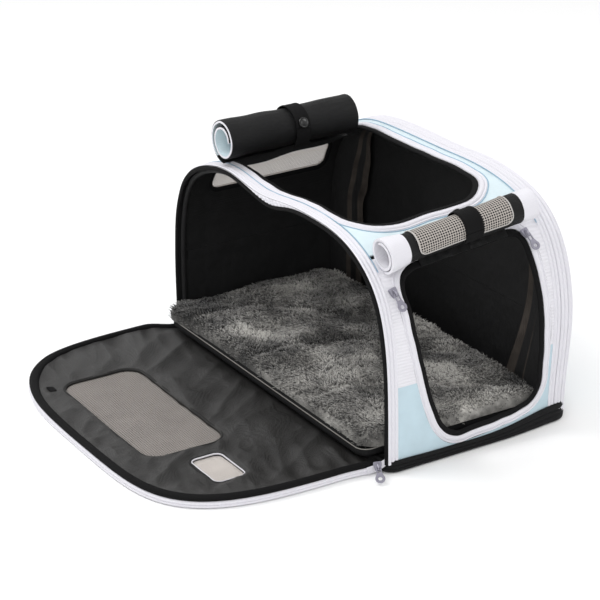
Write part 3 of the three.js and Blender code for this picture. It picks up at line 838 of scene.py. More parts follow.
def build_near_end():
    opening = end_opening_loop()
    hole = outset(resample(opening, 2 * MM), 8 * MM)
    upper = shoulder_outline(PANEL_SEAM)
    lower = wall_outline(FOOT, PANEL_SEAM)
    cut_low, cut_high = clip_hole(hole, PANEL_SEAM, lower), clip_hole(hole, PANEL_SEAM, upper)
    panel("near_end_white", cut_high, [], 4 * MM, near_wall, puff=wrinkled(0.06, 0.8 * MM, 11),
          pale_rim=hole, cloth=("white_z", "cabin"), replaces="near_end_upper_panel")
    panel("near_end_blue", cut_low, [], 4 * MM, near_wall, puff=wrinkled(0.035, 1.2 * MM, 12),
          pale_rim=hole, cloth=("blue", "cabin"), replaces="near_end_lower_panel")
    opening_edges("end", opening, END_TAPE, near_wall, waver=0.5 * MM)
    opening_edge = -85 * MM
    seam_tape("near_seam_tape", BAND_END, opening_edge, near_wall)


def seam_tape(name, start, end, place, body="carrier"):
    """Binding sewn over the inside of the seam between an end's upper and lower panels."""
    low, high = PANEL_SEAM - 5 * MM, PANEL_SEAM + 5 * MM
    outline = np.array([(start, low), (end, low), (end, high), (start, high)])
    panel(name, outline, [], 4 * MM, lambda u, v, inset: place(u, v, CLOTH - SEAM_LAP + inset),
          thickness=1.2 * MM, cloth="cabin", body=body)


def clip_hole(hole, seam, outline):
    """Cuts a hole that crosses the seam height out of one side's outline, as a single loop."""
    outline = np.asarray(outline, float)
    foot = len(outline) - 2
    above = outline[:, 1].mean() > seam
    side = hole[:, 1] > seam if above else hole[:, 1] < seam
    first = np.flatnonzero(side & ~np.roll(side, 1))[0]
    arc = np.roll(hole, -first, axis=0)[: side.sum()]
    before, after = hole[first - 1], np.roll(hole, -first, axis=0)[side.sum() % len(hole)]
    cross = lambda a, b: a + (b - a) * (seam - a[1]) / (b[1] - a[1])
    arc = np.vstack([cross(before, arc[0]), arc, cross(arc[-1], after)])[::-1]
    if above:
        return np.vstack([outline[:1], arc, outline[1:]])
    return np.vstack([outline[:foot + 1], arc, outline[foot + 1:]])


def build_roof():
    opening = top_opening_loop()
    hole = outset(resample(opening, 2 * MM), 8 * MM)
    y = wall_depths()
    x = arch(np.full(len(y), SHOULDER), 0.0, y)[:, 0]
    outline = np.vstack([np.column_stack([x, y]), np.column_stack([-x, y])[::-1]])
    outline = outline if loop_area(outline) > 0 else outline[::-1]
    panel("roof_blue", outline, [hole], 4 * MM, roof, puff=wrinkled(0.05, 1.0 * MM, 21), pale_rim=hole,
          cloth=("roof", "cabin"), replaces="top_panel")
    drift = {"waver": 0.6 * MM, "seed": 4}
    opening_edges("top", opening, TOP_TAPE, roof, **drift)
    # The seam cord round the top opening, in the darker blue: stitching with painted shade of its groove.
    thread = [(9.5, -0.2), (9.8, -0.6), (10.3, -0.6), (10.6, -0.2), (10.3, 0.3), (9.8, 0.3)]
    edging("top_seam_thread_and_shade", opening, thread, roof, cloth="seam", **drift)


def loop_area(loop):
    x, y = loop[:, 0], loop[:, 1]
    return 0.5 * np.sum(x * np.roll(y, -1) - y * np.roll(x, -1))


# ---------------------------------------------------------------- netting
def netting(name, window, radius, pitch, place, thickness=0.5 * MM, strand=0.36, **facts):
    """A net with square holes that fills a window (left, right, low, high) with rounded corners."""
    left, right, low, high = window
    columns, rows = (np.linspace(start, end, int(round((end - start) / pitch)) + 1)
                     for start, end in ((left, right), (low, high)))
    points, index, faces = [], {}, []

    def vertex(u, v, depth):
        key = (round(u, 6), round(v, 6), depth)
        if key not in index:
            index[key] = len(points)
            points.append((u, v, depth * thickness))
        return index[key]

    def allowed(u, v):
        du = max(left + radius - u, u - right + radius, 0)
        dv = max(low + radius - v, v - high + radius, 0)
        return left < u < right and low < v < high and math.hypot(du, dv) < radius

    cells = [(i, j) for i in range(len(columns) - 1) for j in range(len(rows) - 1)
             if allowed((columns[i] + columns[i + 1]) / 2, (rows[j] + rows[j + 1]) / 2)]
    present = set(cells)
    for i, j in cells:
        u0, u1, v0, v1 = columns[i], columns[i + 1], rows[j], rows[j + 1]
        du, dv = (u1 - u0) * strand / 2, (v1 - v0) * strand / 2
        ring = [(u0, v0), (u1, v0), (u1, v1), (u0, v1)]
        hole = [(u0 + du, v0 + dv), (u1 - du, v0 + dv), (u1 - du, v1 - dv), (u0 + du, v1 - dv)]
        beside = [(i, j - 1), (i + 1, j), (i, j + 1), (i - 1, j)]
        for k in range(4):
            n = (k + 1) % 4
            front, rear = ([vertex(*spot, depth) for spot in (ring[k], ring[n], hole[n], hole[k])]
                           for depth in (0, 1))
            faces.append(tuple(front))
            faces.append(tuple(rear[::-1]))
            faces.append((front[3], front[2], rear[2], rear[3]))
            if beside[k] not in present:
                faces.append((front[1], front[0], rear[0], rear[1]))
    points = np.array(points)
    return finish_piece(name, place(points[:, 0], points[:, 1], points[:, 2]), faces, sharp=30, **facts)


def build_far_end():
    low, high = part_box("far_window_mesh")
    window, radius = (low[1], high[1], low[2], high[2]), 12 * MM
    under_net = 0.97
    hole = rounded_rectangle(*window, radius) * [under_net, 1]
    upper = shoulder_outline(PANEL_SEAM)
    panel("far_end_white", upper, [hole], 4 * MM, far_wall, puff=wrinkled(0.06, 0.8 * MM, 31),
          cloth=("white_z", "cabin"), replaces="far_end_upper_panel")
    panel("far_end_blue", wall_outline(FOOT, PANEL_SEAM), [], 4 * MM, far_wall,
          puff=wrinkled(0.04, 1.2 * MM, 32), cloth=("blue", "cabin"), replaces="far_end_lower_panel")
    place = lambda u, v, inset: far_wall(u, v, 1.4 * MM + inset)
    netting("far_netting", window, radius, 2.1 * MM, place, cloth="pale_net", replaces="far_window_mesh")
    trim = [(2.5, -0.3), (1.5, -1.0), (-1.0, -0.9), (-2.2, 0.2), (-2.4, 2.4), (-1.0, 3.7), (2.0, 3.6),
            (2.6, 3.0)]
    edging("far_window_trim", hole, trim, far_wall, cloth="binding")
    seam_tape("far_seam_tape", BAND_END, REAR_SEAM, far_wall)


# ---------------------------------------------------------------- rear
def build_rear():
    rise, depth = 1.4 * MM, 2.8 * MM
    move_start, move_end = (corner[1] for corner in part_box("rear_moving_zip_band"))
    for key, start, end, body in (("fixed", REAR_SEAM + 0.3 * MM, EXPANSION, "carrier"),
                                  ("moving", move_start, move_end, "rear_panel")):
        outer = ribs(start, end, 2, rise)
        arch_band(f"rear_{key}_rows", outer + [(end, depth), (start, depth)], cloth=("white_tape", "cabin"),
                  material_of=lambda j: int(j == len(outer)), replaces=f"rear_{key}_zip_band", body=body)
    build_rear_edge(move_end + 0.3 * MM)
    turn = even_turns(120)
    rim = arch(turn, np.full(len(turn), RIM_INSET), np.full(len(turn), REAR))
    rim = np.column_stack([rim[:, 0] + CORNER_DRAW[0] * draw_in(rim[:, 0], REAR, rim[:, 2]), rim[:, 2]])
    near, far, seam = rim[0, 0], rim[-1, 0], PANEL_SEAM + 0.3 * MM
    high = np.vstack([[(near, seam)], rim[rim[:, 1] > seam], [(far, seam)]])
    foot = FOOT + 0.5 * MM
    low = np.array([(far, foot), (near, foot), (near, PANEL_SEAM), (far, PANEL_SEAM)])

    def face(u, v, inset):
        drawn = draw_in(u, REAR, v)
        sideways, forwards = CORNER_DRAW
        return np.stack([u - sideways * drawn, REAR - inset - forwards * drawn, v + 0 * drawn], -1)

    panel("rear_white", high, [], 5 * MM, face, puff=wrinkled(0.09, 1.6 * MM, 41, 0.03),
          cloth=("white_z", "cabin"), replaces="rear_upper_panel", body="rear_panel")
    panel("rear_blue", low, [], 5 * MM, face, puff=wrinkled(0.06, 1.6 * MM, 42, 0.02),
          cloth=("blue", "cabin"), replaces="rear_lower_panel", body="rear_panel")
    seam_tape("rear_seam_tape", far + 4 * MM, near - 4 * MM, face, "rear_panel")
    hoop("rear_hoop", 102 * MM, "rear_panel")
    build_gusset(move_start)


def build_rear_edge(start):
    """White cloth that rounds the body's rear edge. Its section follows the start, then the rear face."""
    front = [(0, 0.2), (0.6, -0.6), (2.4, -0.8), (3.6, 0.3), (4.2, -0.1), (6.0, 0.9), (8.4, 3.4),
             (10.2, 7.4)]
    rear = [(0.2, 11.5), (0.2, 14.0), (-2.8, 14.0), (-3, 10.8), (-4.6, 6.8), (-7.2, 4.2)]
    shell = [(start + y * MM, inset * MM) for y, inset in front]
    shell += [(REAR + y * MM, inset * MM) for y, inset in rear] + [(start, 3.0 * MM)]
    arch_band("rear_edge_rows", shell, cloth="white_tape", replaces="rear_panel_edge", body="rear_panel")


def thickened(path, thickness):
    """Closed section of a sheet that follows an open path, by moving the path along its normals."""
    path = np.asarray(path, float)
    along = np.gradient(path, axis=0)
    along /= np.linalg.norm(along, axis=1)[:, None]
    normal = np.column_stack([-along[:, 1], along[:, 0]])
    return np.vstack([path + normal * thickness / 2, (path - normal * thickness / 2)[::-1]])


def build_gusset(move_start):
    """Gusset that flops inwards between the two rear bands: black cloth with a mesh strip at its fold."""
    start, end = REAR_SEAM + 0.9 * MM, move_start + 7.5 * MM
    inwards = [(0, 0.0), (2, 0.22), (6, 0.4), (10, 0.52), (14.5, 0.6), (17.5, 0.8), (20.0, 1.0), (22.5, 0.86),
               (22.5, 0.6)]
    path = [(start + y * MM, share) for y, share in inwards]
    path += [(end + y * MM, share) for y, share in ((3, 0.3), (1, 0.12), (0, 0.0))]
    rings = []
    for t in even_turns(200):
        on_wall = 1 - smooth(min(t, 1 - t), 0.19, 0.33)
        height = float(arch(np.array([t]), 0, np.array([end]))[0, 2])
        if t < 0.5:
            reach = np.interp(height, (0.01, 0.046, 0.145, 0.19, 0.225, 0.25), (78, 72, 40, 24, 12, 9)) * MM
            drift = -22 * MM * on_wall
        else:
            reach = (9 + 30 * on_wall + 2.0 * math.sin(61 * t) * on_wall) * MM
            drift = 0
        spine = [(y + drift * share, 4.2 * MM + reach * share) for y, share in path]
        section = thickened(spine, 0.8 * MM)
        rings.append(arch(np.full(len(section), t), section[:, 1], section[:, 0]))
    last = 2 * len(path) - 1
    gusset = swept("gusset_folds", np.stack(rings), cloth=("cabin", "gusset_net"), body=None,
                   slot="taupe_mesh", material_of=lambda j: int(min(j, last - 1 - j) in (3, 5)),
                   replaces="expansion_gusset")
    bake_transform(gusset)


# ---------------------------------------------------------------- front door
def door_outline(inset, count=150):
    """The door's outline as it lies on the floor, hinge edge included, anticlockwise from above."""
    angle = np.pi * even_turns(count)
    x = (DOOR_HALF - inset) * bend(np.cos(angle))
    y = DOOR_START - (DOOR_REACH - inset) * bend(np.sin(angle))
    return np.column_stack([x, y])[::-1]


def door_band(name, rows, **facts):
    """A closed section of (height, inset) points taken round the door's edge, hinge to hinge."""
    rings = []
    for height, inset in rows:
        x, y = door_outline(inset * MM, 200)[::-1].T
        lift = door_lift(x, y) * min(1, height / 8)
        rings.append(np.column_stack([door_slip(x, y), y, height * MM + lift]))
    return swept(name, np.stack(rings, 1), body="front_door", **facts)


def door_place(u, v, inset):
    """A point of the door's panel as it lies on the floor. Only its upper face is uneven."""
    top, highest, upper_face = 9.3 * MM, 15.4 * MM, 5 * MM
    lift = door_lift(u, v) * (np.asarray(inset) < upper_face)
    return np.stack([door_slip(u, v), v, np.minimum(top - inset + lift, highest)], -1)


def gathered(u, v, d):
    """Folds run square to the door's edges and fade towards its middle and its hinge."""
    free = smooth(-v, 0.127, 0.15)
    outer = np.exp(-np.maximum(v + 0.338, 0) / 0.03)
    side = np.exp(-np.maximum(0.19 - np.abs(u), 0) / 0.03)
    pleat = lambda a, b, pitch, seed: 1 - 2.6 * np.abs(ripple(a, b, pitch, seed))
    folds = (2.0 * outer * pleat(u + 0.3 * v, 0.15 * v, 0.034, 52)
             + 2.0 * side * pleat(0.15 * u, v + 0.3 * u, 0.034, 53)
             + 1.3 * np.exp(-d / 0.02) * pleat(u, v, 0.04, 54))
    broad = 2.2 * ripple(u, v, 0.08, 51) + 1.6 * pleat(u + 0.6 * v, 0.25 * v, 0.075, 55)
    return (0.3 + free * (1 - np.exp(-d / 0.006)) * (1.6 + broad + folds)) * MM


def build_front_door():
    rows = [(0.6, 1.6), (0.9, 0.4), (1.6, -0.4), (2.8, -0.8), (3.7, -0.5), (4.1, 0.2), (4.5, -0.3),
            (5.6, -0.7), (6.8, -0.4), (7.8, 0.5), (8.3, 2.0), (8.4, 5), (8.0, 9.4), (3, 9.4), (0.8, 7.6)]
    sleeve = [(7.9, 0.9), (9.0, -0.1), (10.6, -0.2), (12.0, 0.9), (12.9, 2.8), (13.0, 5.0), (12.5, 6.8),
              (11.4, 8.0), (9.6, 8.6), (8.2, 6)]
    wire = [(10.6 + height, 4.0 + inset) for inset, height in oval(8, 0.8, 0.8)]
    door_band("door_zip_rows", rows, cloth="white_tape", replaces="front_door_zip_band")
    door_band("door_binding", sleeve, cloth="binding", replaces="front_door_binding")
    door_band("door_hoop_spring", wire, cloth="wire", replaces="front_door_hoop_wire")
    big = rounded_rectangle(*DOOR_WINDOW, 18 * MM)
    small = rounded_rectangle(*CARD_WINDOW, 8 * MM)
    panel("door_lining", door_outline(7 * MM), [big, small], 2.6 * MM, door_place, thickness=6.3 * MM,
          puff=gathered, rim_slot=0, cloth=("lining", "blue"), replaces="front_door_panel", body="front_door")
    tab = rounded_rectangle(-0.131, -0.121, -0.3285, -0.3200, 1 * MM)
    on_lining = lambda u, v, inset: door_place(u, v, inset - gathered(u, v, 0.02) - 0.6 * MM)
    panel("door_corner_tab", tab, [], 2 * MM, on_lining, thickness=0.9 * MM, rim_slot=0, cloth="binding",
          body="front_door")
    build_door_windows(big, small)
    build_zip_tail()


def build_door_windows(big, small):
    """The long window has a dark sheet behind its net, painted shade seen through the holes; the card window
    a white lip round its rim.
    """
    level = lambda u, v, inset: door_place(u, v, 2.2 * MM + inset)
    behind = lambda u, v, inset: door_place(u, v, 4.2 * MM + inset)
    netting("door_netting", DOOR_WINDOW, 18 * MM, 2.6 * MM, level, cloth="net",
            replaces="front_door_window_mesh", body="front_door")
    netting("card_netting", CARD_WINDOW, 8 * MM, 1.6 * MM, level, cloth="pale_net", slot="taupe_mesh",
            replaces="front_door_small_window", body="front_door")
    # A dark sheet under the long net: painted shade seen through its holes, with the net's colour on its
    # under face.
    panel("door_window_shade_sheet", big, [], 6 * MM, behind, thickness=0.6 * MM, rim_slot=0,
          cloth=("shade_sheet", "net"), body="front_door")
    trim = [(3.6, 0.2), (3.0, -0.7), (2.0, -1.1), (0.9, -0.8), (0.0, 0.2), (-0.3, 1.6), (0.2, 3.4),
            (3.4, 3.0)]
    lip = [(0.6, -0.5), (0.1, -0.9), (-0.5, -0.7), (-0.7, 0.0), (-0.4, 0.7), (0.4, 0.5)]
    edging("door_window_trim", big, trim, door_place, waver=0.4 * MM, cloth="trim", body="front_door")
    edging("card_window_trim", small, trim, door_place, waver=0.3 * MM, cloth="trim", body="front_door")
    edging("card_window_lip", small, lip, door_place, cloth="white_tape", body="front_door")


def build_zip_tail():
    """White tape that carries the front zip from each foot of the arch on to the door."""
    path = [(217.6, -111, 15.5), (217.4, -116.5, 14.4), (216.2, -120, 11.8), (213.4, -124, 8.0),
            (210.9, -129, 5.6), (210.4, -137, 5.0)]
    half = 4.2
    section = ((0, half), (0.7, half * 0.6), (0.9, 0), (0.7, -half * 0.6), (0, -half), (-1.2, -half * 0.8),
               (-1.4, 0), (-1.2, half * 0.8))
    for key, side in (("near", 1), ("far", -1)):
        rings = [[((x + grow) * side, y, z + rise) for grow, rise in section] for x, y, z in path]
        tail = swept(f"front_zip_tail_{key}", np.array(rings) * MM, cloth="white_tape", body=None)
        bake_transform(tail)


def door_slip(x, y):
    """The soft door spreads towards its far side and draws in along its near side."""
    free = smooth(-np.asarray(y), 0.128, 0.165)
    return x - free * (12 * MM * smooth(-x, 0.12, 0.2) + 3 * MM * smooth(x, 0.12, 0.2))


def door_lift(x, y):
    """The door's soft panel lies a little uneven on the floor and curls up along its far side."""
    far = smooth(-np.asarray(y), 0.13, 0.2)
    curl = 2.4 * MM * smooth(-np.asarray(y), 0.128, 0.16) * (1 - smooth(-np.asarray(y), 0.29, 0.345))
    return 0.5 * MM * far * ripple(x, y, 0.16, 61) + curl * smooth(-np.asarray(x), 0.14, 0.2)


def hinge_cloth(name, half, edge, section, body, start, end, **facts):
    """Cloth along one edge of the base that bends between it and the panel that folds down there."""
    count = 60
    across = np.linspace(-half, half, count)
    rings = [np.column_stack([across, y * MM - CORNER_DRAW[1] * draw_in(across, edge, z * MM),
                              np.full(count, z * MM)]) for y, z in section]
    flap = swept(name, np.stack(rings, 1), body=None, **facts)
    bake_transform(flap)


def build_hinges():
    front = [(-117.0, 13.2), (-119.5, 13.8), (-122.5, 12.6), (-126, 10.2), (-130, 8.6), (-134, 8.0),
             (-134, 3.2), (-130, 2.4), (-126, 2.0), (-122.5, 2.0), (-119.5, 2.4), (-117.0, 3.4)]
    hinge_cloth("front_hinge_cloth", 0.203, FRONT, front, "front_door", (-0.1195, 0.01), (-0.127, 0.01),
                cloth=("cabin", "blue"), material_of=lambda j: int(j > 5), replaces="front_door_hinge_tape",
                slot="pale_blue_fabric")
    rear = [(117.2, 2.2), (118.6, 1.2), (119.6, 3), (119.8, 8), (119.4, 13), (118.7, 17), (118.1, 17),
            (118.6, 12), (118.9, 8), (118.7, 4)]
    hinge_cloth("rear_hinge_cloth", 0.180, REAR, rear, "rear_panel", (0.118, 0.004), (0.118, 0.014),
                cloth="black", replaces="rear_panel_hinge_tape")


# ---------------------------------------------------------------- mat
def tuck(piece):
    """Gives a mat piece its own copy of its mesh. The cloth that overhangs the board presses in when the
    front door closes against it, but nothing here moves it.
    """
    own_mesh(piece)


def build_mat():
    """The board's black cover with a pale cord round its upper rim, a painted highlight on the cover's edge,
    and the plush pad that lies on it.
    """
    low, high, reach = MAT_LOW, MAT_HIGH, 8.5 * MM
    loop = rounded_rectangle(low[0] - reach, high[0] + reach, low[1] - reach, high[1], 13 * MM)
    rim = resample(loop, 3 * MM)
    normal = loop_normals(rim)
    cover = [(-30, 7.4), (-2.4, 8.0), (-0.8, 7.6), (0.1, 6.4), (0.2, 3.8), (0.1, 1.4), (-1.2, 0.2),
             (-30, 0.2)]
    # The pale cord is a painted highlight along the cover's upper edge.
    cord = oval(8, 0.5, 0.5, (-0.4, -0.2))
    for section, base, facts in ((cover, low[2], dict(name="mat_cover", cloth="black", replaces="mat_board")),
                                 (cord, high[2], dict(name="mat_piping", cloth="mat_piping"))):
        rings = [np.column_stack([rim + normal * out * MM, np.full(len(rim), base + height * MM)])
                 for out, height in section]
        tuck(swept(rings=np.stack(rings, 1), closed=True, body="mat", **facts))
    build_fleece()


FLEECE_LOW = (-0.2055, -0.1340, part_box("fleece_mat")[0][2])
FLEECE_HIGH = (0.2050, 0.0860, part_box("fleece_mat")[1][2])


def fleece_shift(x, y):
    """The loose pad lies askew: its far front corner hangs out over the board."""
    corner = np.exp(-((x - FLEECE_LOW[0]) / 0.05) ** 2 - ((y - FLEECE_LOW[1]) / 0.05) ** 2)
    return -7 * MM * corner, -8 * MM * corner


def fleece_edge(x, y, corner=0.022):
    """Distance inwards from the pad's rounded outline."""
    low, high = FLEECE_LOW, FLEECE_HIGH
    across = np.minimum(x - low[0], high[0] - x)
    along = np.minimum(y - low[1], high[1] - y)
    turned = corner - np.hypot(np.maximum(corner - across, 0), np.maximum(corner - along, 0))
    return np.where((across < corner) & (along < corner), turned, np.minimum(across, along))


def fleece_top(x, y):
    """Height of the plush pad's round-edged, lumpy top."""
    low, high = FLEECE_LOW, FLEECE_HIGH
    edge = np.clip(fleece_edge(x, y) / 0.016, 0, 1)
    rise = np.sqrt(1 - (1 - edge) ** 2)
    rim_height, full = 3 * MM, high[2] - 11 * MM - low[2]
    folds = 5.2 * ripple(x, y, 0.11, 71) - 6.0 * np.exp(-(ripple(x, y, 0.15, 75) / 0.12) ** 2)
    return low[2] + rim_height + (full - rim_height) * rise + (folds + 1.2) * MM * edge


def build_fleece():
    low, high = FLEECE_LOW, FLEECE_HIGH
    loop = rounded_rectangle(low[0] + MM, high[0] - MM, low[1] + MM, high[1] - MM, 21 * MM)

    def place(u, v, inset):
        dx, dy = fleece_shift(u, v)
        return np.stack([u + dx, v + dy, np.where(inset > 0.5 * MM, low[2], fleece_top(u, v))], -1)

    pad = panel("fleece_pad", loop, [], 4 * MM, place, thickness=1 * MM, cloth="plush",
                replaces="fleece_mat", body="mat")
    tuck(pad)
    middle = (low[1] + high[1]) / 2
    tuck(build_pile("fleece_pile_front", low[1], middle))
    tuck(build_pile("fleece_pile_rear", middle, high[1]))


def build_pile(name, start, end, count=15000):
    """Tufts of short pile that lean in swirls, each a closed curved spike."""
    low, high = FLEECE_LOW, FLEECE_HIGH
    x = RNG.uniform(low[0] + MM, high[0] - MM, count)
    y = RNG.uniform(max(start, low[1] + MM), min(end, high[1] - MM), count)
    keep = fleece_edge(x, y) > 0.5 * MM
    x, y = x[keep], y[keep]
    count = len(x)
    edge = fleece_edge(x, y)
    z = fleece_top(x, y) - 1.2 * MM - RNG.uniform(0, 1, count) * 12 * MM * np.clip(1 - edge / 0.004, 0, 1)
    swirl = 1.5 * ripple(x, y, 0.10, 72) + 0.7 * ripple(x, y, 0.03, 73)
    heading = -2.2 + 1.4 * swirl + RNG.normal(0, 0.6, count)
    lean = np.clip(0.85 + 0.4 * ripple(x, y, 0.05, 74) + RNG.normal(0, 0.25, count), 0.25, 1.35)
    tall = RNG.uniform(5.5, 8.5, count) * MM
    wide = RNG.uniform(1.1, 1.8, count) * MM
    skirt = np.clip(1 - edge / 0.012, 0, 1)[:, None]
    tall = tall * (1 - 0.35 * skirt[:, 0])
    away = np.stack([np.where(x - low[0] < 0.012, -1, 0) + np.where(high[0] - x < 0.012, 1, 0),
                     np.where(y - low[1] < 0.012, -1, 0) + np.where(high[1] - y < 0.012, 1, 0), 0 * x], 1)
    away = away / np.maximum(1, np.linalg.norm(away, axis=1))[:, None]
    dx, dy = fleece_shift(x, y)
    root = np.stack([x + dx, y + dy, z], 1)
    ahead = np.stack([np.cos(heading), np.sin(heading), 0 * heading], 1)
    ahead = ahead * (1 - 0.7 * skirt) + away * skirt
    aside = np.stack([-np.sin(heading), np.cos(heading), 0 * heading], 1)
    up = np.array([0, 0, 1.0])
    rings = []
    for share, girth in ((0.0, 0.9), (0.45, 1.0), (0.8, 0.62)):
        bow = share ** 1.6
        middle = root + tall[:, None] * (ahead * (np.sin(lean) * bow)[:, None]
                                         + up * (share * (1 - 0.45 * bow * lean))[:, None])
        for corner in range(3):
            angle = math.tau * corner / 3
            rings.append(middle + (aside * math.cos(angle) + ahead * math.sin(angle) * 0.6)
                         * (wide * girth / 2)[:, None])
    tip = root + tall[:, None] * (ahead * np.sin(lean)[:, None] + up * (1 - 0.45 * lean)[:, None])
    corners = np.stack([*rings, tip], 1)
    corners[:, :, 2] = np.maximum(corners[:, :, 2], low[2] - 2 * MM)
    heights = np.array([0.0] * 3 + [0.5] * 3 + [0.8] * 3 + [1.0])
    pattern = [(0, 2, 1)]
    for base in (0, 3):
        for k in range(3):
            n = (k + 1) % 3
            pattern.append((base + k, base + n, base + 3 + n, base + 3 + k))
    pattern += [(6 + k, 6 + (k + 1) % 3, 9) for k in range(3)]
    faces, uvs = [], []
    for i in range(count):
        for face in pattern:
            faces.append(tuple(10 * i + c for c in face))
            uvs += [(x[i], heights[c]) for c in face]
    return finish_piece(name, corners.reshape(-1, 3), faces, "pile", uvs=uvs, sharp=180, body="mat")


# ---------------------------------------------------------------- rolled-up doors and their straps
TOP_ROLL = {"front": (-101, -118, 261.4), "rear": (-105, 45, 261.8), "radius": 23.9, "turns": 1.75,
            "turning": -1, "pitch": 5.8, "strap": 8, "strap_radius": 23.5, "strap_width": 18, "stud": 24}
END_ROLL = {"front": (188, -103.5, 221.3), "rear": (187.5, 75, 240.5), "radius": 16.7, "turns": 1.6,
            "turning": 1, "pitch": 3.8, "strap": 10, "strap_radius": 16.5, "strap_width": 22, "stud": 152}


def roll_length(roll):
    return (Vector(roll["rear"]) - Vector(roll["front"])).length


def roll_to_row(roll, local):
    """Points in a roll's own frame (x sideways, y along its axis to the rear, z up, in millimetres) as
    row-frame metres."""
    front, rear = Vector(roll["front"]), Vector(roll["rear"])
    along = (rear - front).normalized()
    side = along.cross(Vector((0, 0, 1))).normalized()
    basis = np.array([side, along, side.cross(along)])
    return local * MM @ basis + np.array((front + rear) / 2 * MM)


def spiral_sheet(name, roll, start, end, cloth, swell, layer, depth=0.0, steps=26, lead=0.0, **facts):
    """A strip of a rolled-up door: a cloth layer wound in a spiral between two places on its axis.
    lead is the part of a turn by which it starts later than the outermost layer."""
    count = int((roll["turns"] - lead) * steps)
    turn = lead + np.arange(count + 1) / steps
    angle = np.radians(-90) + roll["turning"] * math.tau * turn
    places = np.linspace(start, end, max(8, int((end - start) / 2.5)) + 1)
    rings = []
    for y in places:
        outer = roll["radius"] - roll["pitch"] * turn ** 1.15 - depth + swell(y, turn, angle)
        inner = outer - layer
        tip = np.minimum(1, (turn[-1] - turn) * steps / 2 + 0.25)
        tip = tip * np.minimum(1, (turn - turn[0]) * steps / 2 + 0.25)
        middle = (outer + inner) / 2
        out, back = (np.stack([reach * np.cos(angle), np.full(count + 1, y), reach * np.sin(angle)], 1)
                     for reach in (middle + layer / 2 * tip, middle - layer / 2 * tip))
        rings.append(np.vstack([out, back[::-1]]))
    return swept(name, roll_to_row(roll, np.stack(rings)), cloth=cloth, material_of=lambda j: int(j > count),
                 **facts)


def lumpy(roll, seed, height, girth=lambda y: 0.0):
    """Soft unevenness of a cloth roll: lengthwise pleats and slow bulges, pinched where a strap holds it."""
    def swell(y, turn, angle):
        slow = ripple(y * np.ones_like(angle), angle * roll["radius"], 48, seed)
        pleat = ripple(y * 0.3 * np.ones_like(angle), angle * roll["radius"], 15, seed + 1)
        pinch = 0.8 * np.exp(-((y - roll["strap"]) / 13) ** 2)
        return height * (0.6 * slow + 0.5 * pleat * np.minimum(1, 1.2 - 0.5 * turn)) - pinch + girth(y)
    return swell


def build_top_roll():
    half = roll_length(TOP_ROLL) / 2
    shape = lumpy(TOP_ROLL, 81, 0.7, lambda y: 0.6 + 1.0 * smooth(-y, 25, 72) + 1.0 * smooth(y, 25, 72))
    spiral_sheet("top_roll_cloth", TOP_ROLL, -half + 0.6, half - 0.6, "satin", shape, 1.1,
                 replaces="top_door_roll")
    spiral_sheet("top_roll_lining", TOP_ROLL, -half, half, ("white_tape", "roof"), shape, 2.0, 1.15,
                 lead=0.09, slot="pale_blue_fabric")
    count = 70
    along = np.linspace(-93 * MM, 66 * MM, count)
    section = [(-133, -2.0), (-127, -2.4), (-121, -2.6), (-118.2, -1.2), (-117.2, 3), (-117.6, 9.4),
               (-118.7, 9.8), (-119.2, 3), (-120.6, -0.2), (-127, -1.0), (-133, -0.8)]
    rings = []
    for x, drop in section:
        slack = 1 + 0.12 * np.sin(along * 90) + 0.08 * np.sin(along * 37)
        surface = roof(np.full(count, x * MM), along, np.zeros(count))
        surface[:, 2] -= (drop * slack if drop > 2 else drop) * MM
        rings.append(surface)
    swept("top_hinge_cloth", np.stack(rings, 1), cloth="satin")


def end_girth(y):
    """The rolled end door flares at its front cuff and is slimmer along its middle."""
    return 3.0 * smooth(-y, 58, 88) - 0.6 * smooth(-y, -40, 20) + 0.2 * smooth(y, 60, 88)


def build_end_roll():
    half = roll_length(END_ROLL) / 2
    shape = lumpy(END_ROLL, 91, 0.5, end_girth)
    front_cuff, rear_cuff = -half + 23.5, half - 18.5
    spiral_sheet("end_roll_front_cuff", END_ROLL, -half, front_cuff, "white_tape",
                 lambda y, t, a: shape(y, t, a) + 0.5, 2.6, replaces="end_door_roll")
    spiral_sheet("end_roll_middle", END_ROLL, front_cuff - 1, rear_cuff + 1, "satin", shape, 2.4)
    spiral_sheet("end_roll_rear_cuff", END_ROLL, rear_cuff, half, "white_tape",
                 lambda y, t, a: shape(y, t, a) + 0.4, 2.6)
    radius = END_ROLL["radius"] * MM
    loop = rounded_rectangle((front_cuff + 10.5) * MM, (rear_cuff - 14) * MM, math.radians(-24) * radius,
                             math.radians(205) * radius, 9 * MM)

    def place(u, v, inset):
        """u runs along the roll and v round it, both in metres on its surface."""
        angle, y = v / radius, u / MM
        turn = (angle - np.radians(-90)) / math.tau
        out = END_ROLL["radius"] - END_ROLL["pitch"] * turn ** 1.15 + shape(y, turn, angle) + 0.5
        out = out - inset / MM
        return roll_to_row(END_ROLL, np.stack([out * np.cos(angle), y, out * np.sin(angle)], -1))

    panel("end_roll_netting", loop, [], 3 * MM, place, thickness=0.8 * MM, rim_slot=0, cloth="roll_net")
    y = np.linspace(-58, 49, 12) * MM
    top = 0.2105 + (y + 0.005) * 0.071
    band = np.vstack([np.column_stack([y, top - 6 * MM]), np.column_stack([y, top + 9 * MM])[::-1]])
    panel("end_hinge_cloth", band, [], 4 * MM, lambda u, v, inset: near_wall(u, v, inset - 2.4 * MM),
          thickness=0.9 * MM, rim_slot=0, cloth="satin")
    edging("end_roll_piping", loop, oval(7, 0.7, 0.6, (0, -0.2)), place, cloth="piping")


